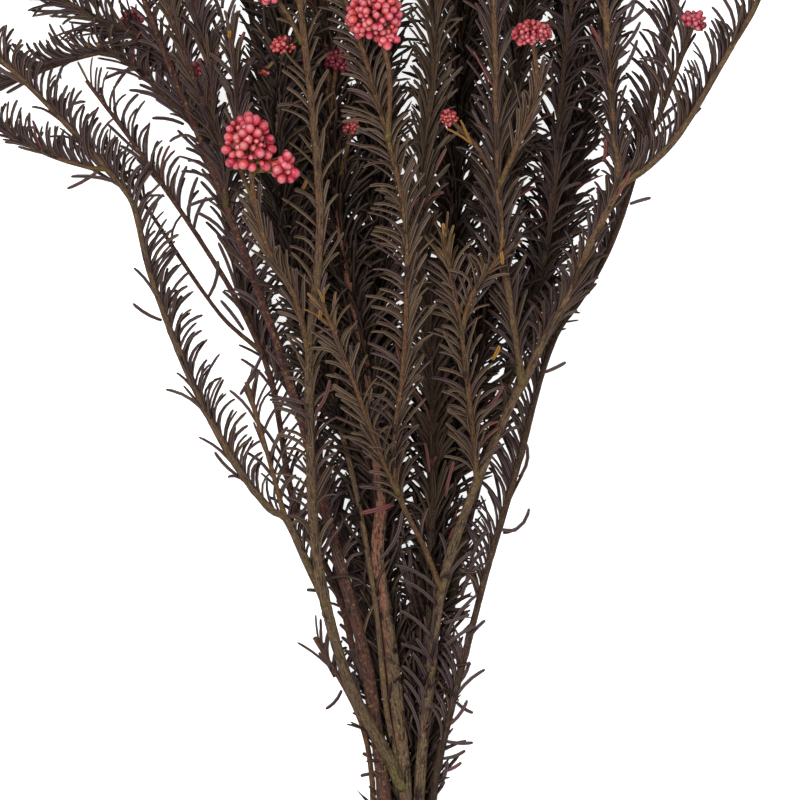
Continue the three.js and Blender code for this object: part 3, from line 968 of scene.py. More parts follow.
@dataclass(frozen=True)
class Growth:
    """What holds for the leaves of every habit. Lengths are in metres and angles in radians."""

    step: float = 2 * MM
    under_head: float = 0.9  # leaves end this share of its half height below a head's middle
    turn_noise: float = 0.44
    thin_chance: float = 0.7  # the chance of a thin shoot's first leaf
    filling: float = 25 * MM  # along this length the chance rises by 1
    bald_chance: float = 0.07
    front: float = 0.6  # the sine of the turn from which a leaf is at the front
    steepness: float = 2.5  # of the change from a shoot's upper side to its lower one
    below: float = 0.3  # the y of a leaf's arm under which it counts as below
    young: float = 16 * MM  # how far from a tip without a head leaves are young
    young_close: float = 0.55
    young_short: float = 0.45
    young_thin: float = 0.3
    curled: float = 0.07  # the share of leaves that bend further
    curl: float = 0.7
    low: float = 20 * MM  # how far below the leafy part leaves are closed by all of closing
    least_start: float = 0.05
    least_finish: float = 0.08
    sunk: float = 0.7  # how far out of the wood's middle a leaf is rooted, in radii
    shortest: float = 0.68
    widths: tuple[float, float] = (0.85, 1.12)
    reddened: float = 0.01  # the share of leaves that turned red
    redness: tuple[float, float] = (0.3, 0.8)
    greenest: float = -0.1  # the least ochre that a young leaf draws
    hue_spread: float = 0.3
    twist: float = 0.5
    facing: tuple[float, float, float] = (0.5, 0.3, 0.8)  # ahead, towards the shoot and up


@dataclass(frozen=True)
class Grain:
    """What stands out of a shoot's bark, and how its tint changes along it.

    Depths are shares of the radius, and heights are the y of the frame at which a change begins and
    ends, in metres.
    """

    step: float = 1.3 * MM
    thin_step: float = 2.2 * MM
    sides: int = 18
    thin_sides: int = 8
    trunk_width: float = 3.9  # in millimetres, from here a shoot has no swollen root
    root_swell: float = 0.35
    root_widths: float = 1.5  # the swelling fades over this many widths of the shoot
    waves: tuple[tuple[int, float, float], ...] = ((3, 11 * MM, 0.06), (2, -6 * MM, 0.05))
    rough: float = 0.028
    scarred: float = 0.02  # the share of corners with a leaf scar
    scar: float = 0.16
    foot_redness: float = 0.55
    foot_heights: tuple[float, float] = (-132 * MM, -72 * MM)
    side_redness: float = 0.16  # how much redder one side of a stout shoot is
    twig_widths: tuple[float, float] = (3.1, 1.5)  # in millimetres, from bark to twig
    most_warmth: float = 0.85
    # painted shade: the bark darkens between these heights, towards the cut ends
    low_heights: tuple[float, float] = (-100 * MM, -200 * MM)
    low_darkness: float = 1.5
    most_shade: float = 0.8
    sawn: float = 0.8  # the size of the sawn face in its ring of bark
    moss: float = 0.75
    moss_widths: float = 2.2  # moss fades from a side shoot's root over this many widths


GROWTH = Growth()
GRAIN = Grain()
STOUT_WIDTH = 3.0  # in millimetres, from here a shoot has fine bark and low leaves
PHASES = 6.0  # random turns are drawn from 0 to this, in radians


@dataclass(frozen=True)
class Shoot:
    """One shoot of a stem, from its root to its tip or its flower head.

    Attributes:
        width: The wood's width at the root and at the tip, in millimetres.
        leaves_from: The y of the route from which it has leaves, or BARE.
        head: The flower head at its end, or None.
        route: The places that its middle goes through, in millimetres from the neck.
        habit: How its leaves grow, or None for the stem's way.
        bare: Pairs of y of the route between which it has few leaves.
        crowd: How many times the habit's number of leaves it has.
        redness: How much of the other colour its bark shows, or None for the stem's share.
        taper: 1 where its width falls evenly, and above 1 where it falls faster near the root.
        warmth: How warm and twig-like its thin parts are.
        shade: How dark its bark is.
    """

    width: tuple[float, float]
    leaves_from: float
    head: Head | None
    route: tuple[Point, ...]
    habit: LeafHabit | None = None
    bare: tuple[float, ...] = ()
    crowd: float = 1.0
    redness: float | None = None
    taper: float = 1.0
    warmth: float = 1.0
    shade: float = 0.0

    @property
    def stout(self) -> bool:
        """Whether the shoot is thick enough at its root for fine bark and low leaves."""
        return self.width[0] > STOUT_WIDTH

    def line(self, step: float) -> Line:
        """Lays the shoot's middle line in the frame.

        Args:
            step: How far apart its points lie, in metres.

        Returns:
            The line.
        """
        return Line.through(placed(np.array(self.route)), step)

    def radius(self, share: Array) -> Array:
        """Gives the wood's radius in metres at shares of the shoot's length."""
        foot, tip = self.width
        return MM * (tip + (foot - tip) * (1 - share) ** self.taper) / 2


@dataclass(frozen=True)
class Stray:
    """A single leaf out of line.

    Attributes:
        root: Where it begins, in millimetres from the neck.
        tip: Where it ends.
        bow: How far it bends to its left on the way, or below 0 to its right.
        ochre: How ochre it is.
        red: How red it is.
        olive: Its hue, from purple at 0 to olive at 1.
        width: Its width, in metres.
        twist: How far it turns round its own run, in radians.
        face: Where its upper face looks.
    """

    root: Point
    tip: Point
    bow: float = 0.3
    ochre: float = 0.0
    red: float = 0.0
    olive: float = 0.1
    width: float = 1.25 * MM
    twist: float = 0.2
    face: Point = (0.1, 0.0, 1.0)

    def row(self) -> tuple[Array, ...]:
        """Works out the leaf as leaf_rows() does.

        Returns:
            Root, start, finish, face, length, width, twist and tint.
        """
        root, tip = placed(self.root), placed(self.tip)
        chord = unit(tip - root)
        side = unit(np.cross([0.0, 0.0, 1.0], chord))
        start, finish = unit(chord - self.bow * side), unit(chord + self.bow * side)
        length = np.linalg.norm(tip - root) / np.dot(start, chord)
        values = (root, start, finish, self.face, length, self.width, self.twist,
                  (self.olive, 0.0, self.ochre, self.red))
        return tuple(np.array(value)[None] for value in values)


@dataclass
class Stem:
    """A cut stem with its side shoots and leaves.

    Attributes:
        node: The name of its solid.
        bark: The colour of its bark.
        shoots: Its trunk and then its side shoots.
        habit: How leaves grow on the shoots that have no habit of their own.
        redness: How much of the other colour its bark shows.
        low_leaves: How far below its leafy part a stout shoot has some leaves, in millimetres.
        low_chance: The chance of each of those.
        low_shade: How much painted shade darkens the bark towards the foot.
        strays: Its single leaves out of line.
    """

    node: str
    bark: Bark
    shoots: list[Shoot]
    habit: LeafHabit
    redness: float = 0.35
    low_leaves: float = 0.0
    low_chance: float = 0.3
    low_shade: float = 0.0
    strays: tuple[Stray, ...] = ()

    def wood(self, finishes: Finishes, random: np.random.Generator) -> bpy.types.Object:
        """Makes the bark of every shoot as one object.

        Args:
            finishes: The materials.
            random: The seeded source of random numbers.

        Returns:
            The object, which stands for the stem's solid.
        """
        parts = [self.shoot_bark(shoot, random).mesh(f"{self.node}_part") for shoot in self.shoots]
        return self.dress(joined(parts, f"{self.node}_wood"), finishes.bark[self.bark])

    def shoot_bark(self, shoot: Shoot, random: np.random.Generator) -> Rods:
        """Makes the bark of one shoot.

        At angle a round it and r along it, its radius is the shoot's own times 1 + the sum of
        depth * sin(turns * a + r / run + a random phase) over the waves + what the corner strays +
        the height of its scar, if it has one. The root of a side shoot is 1 + root_swell *
        exp(-r / (root_widths * width)) times as wide.

        Args:
            shoot: The shoot.
            random: The seeded source of random numbers.

        Returns:
            The bark as one rod. A trunk begins with its sawn face, inside its ring of bark.
        """
        line = shoot.line(GRAIN.step if shoot.stout else GRAIN.thin_step)
        sides = GRAIN.sides if shoot.stout else GRAIN.thin_sides
        size = (len(line.reach), sides)
        radius = shoot.radius(line.reach / line.reach[-1])
        if shoot.width[0] < GRAIN.trunk_width:
            fading = np.exp(-line.reach / (GRAIN.root_widths * shoot.width[0] * MM))
            radius = radius * (1 + GRAIN.root_swell * fading)
        angle = -2 * np.pi * np.arange(sides) / sides
        wave = 1.0
        for turns, run, depth in GRAIN.waves:
            phase = random.uniform(0, PHASES)
            wave = wave + depth * np.sin(turns * angle + line.reach[:, None] / run + phase)
        wave = wave + random.normal(0, GRAIN.rough, size)
        scars = random.uniform(0, 1, size) < GRAIN.scarred
        swell = radius[:, None] * (wave + GRAIN.scar * scars)
        arm = line.side[:, None] * np.cos(angle)[:, None] + line.up[:, None] * np.sin(angle)[:, None]
        corners = line.points[:, None] + arm * swell[..., None]
        corners[..., 2] = np.maximum(corners[..., 2], 0.0)
        tint = self.bark_tint(shoot, line, radius, angle)
        reach = line.reach
        if shoot is self.shoots[0]:
            middle = line.points[:1, None]
            corners = np.concatenate([middle + GRAIN.sawn * (corners[:1] - middle), corners])
            reach = np.concatenate([[0.0], reach])
            tint = np.concatenate([tint[:1], tint])
            tint[0, :, 3] = -1.0
        else:
            fading = np.exp(-reach / (GRAIN.moss_widths * shoot.width[0] * MM))
            tint[..., 3] = GRAIN.moss * fading[:, None]
        return Rods(corners[None], tint[None], reach[None])

    def bark_tint(self, shoot: Shoot, line: Line, radius: Array, angle: Array) -> Array:
        """Works out the tint of a shoot's bark, all but its alpha.

        Args:
            shoot: The shoot.
            line: Its middle line.
            radius: Its radius at each ring.
            angle: The angle of each corner.

        Returns:
            Redness, warmth, shade and 0 by ring and corner, as BarkFinish reads them.
        """
        height = line.points[:, 1:2]
        redness = self.redness if shoot.redness is None else shoot.redness
        share = GRAIN.foot_redness + (1 - GRAIN.foot_redness) * climb(height, *GRAIN.foot_heights)
        twig = np.minimum(climb(2 * radius / MM, *GRAIN.twig_widths), GRAIN.most_warmth)
        # painted shade towards the foot of the bunch
        dark = GRAIN.low_darkness * self.low_shade * climb(height, *GRAIN.low_heights)
        tint = np.zeros((len(radius), len(angle), 4))
        tint[..., 0] = redness * share - GRAIN.side_redness * np.cos(angle) * shoot.stout
        tint[..., 1] = shoot.warmth * twig[:, None]
        tint[..., 2] = np.clip(shoot.shade + dark, 0, GRAIN.most_shade)
        return tint

    def leaves(self, finishes: Finishes, heads: list["FlowerHead"],
               random: np.random.Generator) -> list[bpy.types.Object]:
        """Makes the leaves of every shoot, one object for each form of leaf.

        Those that would stand in a flower head are left out.

        Args:
            finishes: The materials.
            heads: The flower heads to keep clear of.
            random: The seeded source of random numbers.

        Returns:
            The objects, which stand for the stem's solid too.
        """
        pieces = []
        kinds = ((GROOVED, finishes.leaf, "leaves"), (PLAIN, finishes.deep_leaf, "inner_leaves"))
        for form, material, name in kinds:
            rows = [row for shoot in self.shoots if (shoot.habit or self.habit).form is form
                    for row in self.leaf_rows(shoot, shoot.habit or self.habit, random)]
            if form is GROOVED:
                rows.extend(stray.row() for stray in self.strays)
            if not rows:
                continue
            values = [np.concatenate(column) for column in zip(*rows)]
            root, start, finish, length = values[0], values[1], values[2], values[4]
            tip = root + length[:, None] * (start + finish) / 2
            clear = tip[:, 2] > SURFACE
            for head in heads:
                clear &= head.clear_of(root, tip)
            rods = form.rods(*(column[clear] for column in values))
            LOG.info("%s: %d leaves, %d triangles", self.node, len(rods.corners), rods.triangles())
            pieces.append(self.dress(rods.mesh(f"{self.node}_{name}"), material))
        return pieces

    def leaf_rows(self, shoot: Shoot, habit: LeafHabit,
                  random: np.random.Generator) -> list[tuple[Array, ...]]:
        """Works out the leaves of one shoot.

        Leaf i of n stands near share i / n of the leafy stretch, a golden angle on from the last. The
        chance that it is kept is a product of five shares: for its distance from the first leaf, for
        bare stretches, for the front, for the side below and for the shoot's root. It leaves the shoot
        at start + start_swing * swing and ends at finish + finish_swing * swing, and strays from both.
        Towards a young tip leaves are shorter, thinner, more ochre and closer to the shoot.

        Args:
            shoot: The shoot.
            habit: How its leaves are held.
            random: The seeded source of random numbers.

        Returns:
            Root, start, finish, face, length, width, twist and tint of all its leaves, or nothing.
        """
        line = shoot.line(GROWTH.step)
        end = line.reach[-1] - (shoot.head.along * GROWTH.under_head * MM if shoot.head else 0.0)
        first = BARE
        if shoot.leaves_from < BARE:
            first = line.distance_at_y(float(placed((0, shoot.leaves_from, 0))[1]))
        if first >= end:
            return []
        low = first - self.low_leaves * MM if shoot.stout else first

        count = int((end - low) * habit.to_a_metre * shoot.crowd)
        place = np.arange(count) + habit.scatter * random.uniform(-1, 1, count)
        distance = np.clip(low + (end - low) * place / count, low, end)
        turn = np.arange(count) * GOLDEN_ANGLE + random.uniform(0, PHASES)
        turn = turn + GROWTH.turn_noise * habit.scatter * random.normal(0, 1, count)
        turn = turn - habit.to_sides * np.sin(2 * turn)
        here = line.at(distance)
        arm = here.side * np.cos(turn)[:, None] + here.up * np.sin(turn)[:, None]
        swing = np.clip(np.tanh(GROWTH.steepness * arm[:, 1]) - habit.to_left * arm[:, 0], -1, 1)

        least = self.low_chance if shoot.stout else GROWTH.thin_chance
        chance = np.clip(least + (distance - first) / GROWTH.filling, least, 1)
        bare = placed(np.outer(shoot.bare, [0, 1, 0]))[:, 1].reshape(-1, 2)
        height = here.points[:, 1:2]
        bald = np.any((height > bare[:, 0]) & (height < bare[:, 1]), axis=1)
        chance = chance * np.where(bald, GROWTH.bald_chance, 1)
        chance = chance * np.where(np.sin(turn) > GROWTH.front, 1 - habit.bare_front, 1)
        above = 1 + GROWTH.steepness * habit.bare_below * (arm[:, 1] - GROWTH.below)
        chance = chance * np.clip(above, 1 - habit.bare_below, 1)
        chance = chance * (habit.at_foot + (1 - habit.at_foot) * distance / line.reach[-1])
        keep = random.uniform(0, 1, count) < chance
        distance, arm, swing = distance[keep], arm[keep], swing[keep]
        here = line.at(distance)
        count = len(distance)

        young = np.zeros(count) if shoot.head else climb(end - distance, GROWTH.young, 0)
        curl = random.normal(0, habit.spread, count)
        curl = curl + GROWTH.curl * (random.uniform(0, 1, count) < GROWTH.curled)
        close = 1 - habit.closing * climb(first - distance, 0, GROWTH.low)
        first_angle = habit.start + habit.start_swing * swing + random.normal(0, habit.loose, count)
        first_angle = close * np.maximum(first_angle, GROWTH.least_start)
        last_angle = habit.finish + habit.finish_swing * swing + curl
        last_angle = close * np.maximum(last_angle, GROWTH.least_finish) * (1 - GROWTH.young_close * young)
        start = here.tangent * np.cos(first_angle)[:, None] + arm * np.sin(first_angle)[:, None]
        finish = unit(here.tangent * np.cos(last_angle)[:, None] + arm * np.sin(last_angle)[:, None]
                      + np.cross(here.tangent, arm) * random.normal(0, habit.spread, count)[:, None])

        root = here.points + arm * (GROWTH.sunk * shoot.radius(distance / line.reach[-1]))[:, None]
        length = habit.length * (1 - GROWTH.young_short * young)
        length = length * random.uniform(GROWTH.shortest, 1.0 + habit.loose, count)
        width = habit.width * (1 - GROWTH.young_thin * young) * random.uniform(*GROWTH.widths, count)
        red = np.where(random.uniform(0, 1, count) < GROWTH.reddened,
                       random.uniform(*GROWTH.redness, count), -habit.dim)
        hue = np.clip(random.normal(habit.olive, GROWTH.hue_spread, count), 0, 1)
        ochre = np.clip(young * random.uniform(GROWTH.greenest, habit.fresh, count), 0, 1)
        tint = np.stack([hue, np.zeros(count), ochre, red], axis=1)
        ahead, inward, upward = GROWTH.facing
        face = unit(here.tangent * ahead - arm * inward + np.array([0.0, 0.0, upward]))
        twist = random.normal(0, GROWTH.twist, count)
        return [(root, start, finish, face, length, width, twist, tint)]

    def dress(self, piece: bpy.types.Object, material: bpy.types.Material) -> bpy.types.Object:
        """Gives a piece its material and ties it to the frame.

        Args:
            piece: The object.
            material: Its material.

        Returns:
            The piece.
        """
        piece.data.materials.append(material)
        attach(piece, "root")
        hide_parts(self.node)
        return piece


def joined(parts: list[bpy.types.Object], name: str) -> bpy.types.Object:
    """Joins mesh objects into the first of them.

    Args:
        parts: The objects.
        name: The name of the result.

    Returns:
        The object.
    """
    with bpy.context.temp_override(active_object=parts[0], selected_editable_objects=parts):
        bpy.ops.object.join()
    parts[0].name = parts[0].data.name = name
    return parts[0]


@dataclass(frozen=True)
class BudHabit:
    """How buds are spaced, sized and coloured in every head. Depths and sizes are in usual radii."""

    covered: float = 0.86  # the share of a dome's height that has buds, from its pole down
    crowding: float = 1.2  # how many times the buds that fit side by side there are
    packing: float = 0.9  # the share of an area that round buds side by side cover
    fewest: int = 9
    turn_noise: float = 0.08
    layers: int = 3  # one bud in this many is pressed in
    pressed: float = -1.7
    depths: tuple[float, float] = (-0.6, 0.12)
    tilt: float = 0.1
    sizes: tuple[float, ...] = (1.16, 1.06, 0.98, 0.84, 0.6)
    hole: float = 0.12  # the angle round foot and tip inside the first and the last ring
    bracts: int = 5
    winding: float = 3.0
    bract_depth: float = 0.05
    stretch: float = 1.08  # how much longer than wide a bud is
    hue: tuple[float, float] = (0.5, 0.3)  # its middle and its spread
    dull_and_shade_spread: float = 0.2
    orange_spread: float = 0.3
    most_orange: float = 0.9


@dataclass(frozen=True)
class StalkHabit:
    """The form of the stalks that carry the buds. Lengths are in metres."""

    rings: int = 4
    sides: int = 3
    foot: float = 0.95  # how far below the head's middle they begin, in its half heights
    bend: float = 0.45  # how far above their foot they spread, in half heights too
    end: float = 0.8  # how far below its bud's middle a stalk ends, in the bud's radii
    radius: float = 0.28 * MM
    sizes: tuple[float, float] = (0.8, 1.2)
    length: float = 5 * MM  # of the skin map along a stalk


BUDS = BudHabit()
STALKS = StalkHabit()

# Directions that no pole and no bud has, from which a direction across them is worked out.
OFF_POLE = (0.3, 0.2, 0.9)
OFF_ARM = (0.21, 0.33, 0.92)


@dataclass
class FlowerHead:
    """A head of round buds on short stalks: its solid's name, its sizes, its middle and its pole."""

    node: str
    head: Head
    middle: Array
    pole: Array

    @property
    def reach(self) -> float:
        """The head's largest half width, in metres."""
        return max(self.head.across, self.head.along) * MM

    def clear_of(self, root: Array, tip: Array) -> Array:
        """Finds the leaves that keep clear of the head.

        Their tips lie outside its reach and their middles outside nine tenths of it. Where they stand
        in front of the head, their middles also keep off its own by the share of its reach that its
        field seen gives, as seen from above.

        Args:
            root: Where each leaf begins.
            tip: Where it ends.

        Returns:
            Whether each leaf keeps clear.
        """
        offset = (tip + root) / 2 - self.middle
        outside = np.linalg.norm(offset, axis=1) > self.reach * 0.9
        outside &= np.linalg.norm(tip - self.middle, axis=1) > self.reach
        over = np.linalg.norm(offset[:, :2], axis=1) < self.reach * self.head.seen
        return outside & ~(over & (tip[:, 2] > self.middle[2]))

    def domes(self) -> list[tuple[Array, float, float]]:
        """Lists the domes that the head has: its own, and a smaller one at its side if it has a lobe.

        Returns:
            The middle, half width and half height of each, in metres.
        """
        found = [(self.middle, self.head.across * MM, self.head.along * MM)]
        if self.head.lobe:
            share = self.head.lobe_share * MM
            middle = self.middle + np.array(self.head.lobe) * MM
            found.append((middle, self.head.across * share, self.head.along * share))
        return found

    def places(self, random: np.random.Generator) -> tuple[Array, Array]:
        """Spreads the buds evenly over the domes, all but the foot.

        Bud i of n stands at share (i + 0.5) / n of the way from the pole down, a golden angle on
        from the last, so each has the same room. Their number follows from the dome's area, which is
        near 4 * pi * across * (0.6 * along + 0.4 * across).

        Args:
            random: The seeded source of random numbers.

        Returns:
            The middle of each bud and the direction in which it points.
        """
        side = unit(np.cross(self.pole, OFF_POLE))
        other = np.cross(self.pole, side)
        radius = self.head.bud * MM / 2
        spots, arms = [], []
        for middle, across, along in self.domes():
            area = 4 * math.pi * (across - radius) * (0.6 * along + 0.4 * across - radius)
            fitting = BUDS.crowding * BUDS.covered * area / (2 * radius) ** 2 / BUDS.packing
            count = max(BUDS.fewest, int(fitting))
            height = 1 - 2 * BUDS.covered * (np.arange(count) + 0.5) / count
            turn = np.arange(count) * GOLDEN_ANGLE + random.normal(0, BUDS.turn_noise, count)
            ring = np.sqrt(1 - height ** 2)
            level = side * (ring * np.cos(turn))[:, None] + other * (ring * np.sin(turn))[:, None]
            arm = level + self.pole * height[:, None]
            depth = random.uniform(*BUDS.depths, count)
            depth = np.where(np.arange(count) % BUDS.layers == 1, BUDS.pressed, depth) * radius
            spots.append(middle + level * (across - radius + depth)[:, None]
                         + self.pole * (height * (along - radius + depth))[:, None])
            arms.append(unit(arm + random.normal(0, BUDS.tilt, (count, 3))))
        return np.vstack(spots), np.vstack(arms)

    def build(self, finishes: Finishes, random: np.random.Generator) -> list[bpy.types.Object]:
        """Makes the buds and their stalks.

        Args:
            finishes: The materials.
            random: The seeded source of random numbers.

        Returns:
            The objects, which stand for the head's solid.
        """
        spots, arms = self.places(random)
        size = self.head.bud * MM / 2 * random.choice(BUDS.sizes, len(spots))
        pieces = [self.buds(spots, arms, size, random).mesh(f"{self.node}_buds"),
                  self.stalks(spots, arms, size, random).mesh(f"{self.node}_stalks")]
        for piece, material in zip(pieces, (finishes.bud, finishes.stalk)):
            piece.data.materials.append(material)
            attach(piece, "root")
            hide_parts(self.node)
        return pieces

    def buds(self, spots: Array, arms: Array, size: Array, random: np.random.Generator) -> Rods:
        """Makes each bud as a closed round body with flat-pressed bracts.

        At angle a round the bud and b from its foot to its tip, its radius is size * sin(b) *
        (1 + bract_depth * cos(bracts * (a + a random phase) + winding * b)), and its height is
        -size * stretch * cos(b).

        Args:
            spots: The middle of each bud.
            arms: Where each points.
            size: Each one's radius.
            random: The seeded source of random numbers.

        Returns:
            The rods.
        """
        count, rings, sides = len(spots), self.head.rings, self.head.sides
        rise = np.linspace(BUDS.hole, math.pi - BUDS.hole, rings)
        turn = 2 * np.pi * np.arange(sides) / sides
        side = unit(np.cross(arms, OFF_ARM))
        other = np.cross(arms, side)
        phase = random.uniform(0, PHASES, count)[:, None, None]
        bract = np.cos(BUDS.bracts * (turn[None, None, :] + phase) + BUDS.winding * rise[None, :, None])
        across = size[:, None, None] * np.sin(rise)[None, :, None] * (1 + BUDS.bract_depth * bract)
        up = (-BUDS.stretch * size[:, None] * np.cos(rise))[:, :, None, None]
        spin = turn[None, None, :, None]
        round_it = side[:, None, None] * np.cos(spin) + other[:, None, None] * np.sin(spin)
        corners = spots[:, None, None] + arms[:, None, None] * up + across[..., None] * round_it
        corners[..., 2] = np.maximum(corners[..., 2], SURFACE)
        tint = np.zeros((count, rings, 4))
        tint[..., 0] = np.clip(random.normal(*BUDS.hue, count), 0, 1)[:, None]
        tint[..., 1] = np.linspace(0, 1, rings)
        spread = BUDS.dull_and_shade_spread * (self.head.dull_and_shade > 0)
        tint[..., 2] = np.clip(random.normal(self.head.dull_and_shade, spread, count), 0, 1)[:, None]
        spread = BUDS.orange_spread * (self.head.orange > 0)
        orange = random.normal(self.head.orange, spread, count)
        tint[..., 3] = np.clip(orange, 0, BUDS.most_orange)[:, None]
        return Rods(corners, tint, np.repeat(rise[None] * MM, count, axis=0))

    def stalks(self, spots: Array, arms: Array, size: Array, random: np.random.Generator) -> Rods:
        """Makes the short stalks that spread from below the head to its buds.

        A stalk's middle line is (1 - t)^2 * foot + 2 * t * (1 - t) * bend + t^2 * end for t from 0 to
        1, so it sets off along the pole.

        Args:
            spots: The middle of each bud.
            arms: Where each points.
            size: Each one's radius.
            random: The seeded source of random numbers.

        Returns:
            The rods.
        """
        foot = self.middle - self.pole * self.head.along * STALKS.foot * MM
        share = np.linspace(0, 1, STALKS.rings)
        end = spots - arms * (STALKS.end * size)[:, None]
        bend = foot + self.pole * (STALKS.bend * self.head.along * MM)
        t = share[None, :, None]
        middle = (1 - t) ** 2 * foot + 2 * t * (1 - t) * bend + t * t * end[:, None]
        tangent = unit(np.gradient(middle, axis=1))
        across = unit(np.cross(tangent, OFF_ARM))
        other = np.cross(tangent, across)
        turn = 2 * np.pi * np.arange(STALKS.sides) / STALKS.sides
        radius = STALKS.radius * random.uniform(*STALKS.sizes, len(spots))[:, None, None, None]
        corners = middle[:, :, None] + radius * (across[:, :, None] * np.cos(turn)[:, None]
                                                 + other[:, :, None] * np.sin(turn)[:, None])
        corners[..., 2] = np.maximum(corners[..., 2], SURFACE)
        tint = np.zeros((len(spots), STALKS.rings, 4))
        return Rods(corners, tint, np.repeat(share[None] * STALKS.length, len(spots), axis=0))


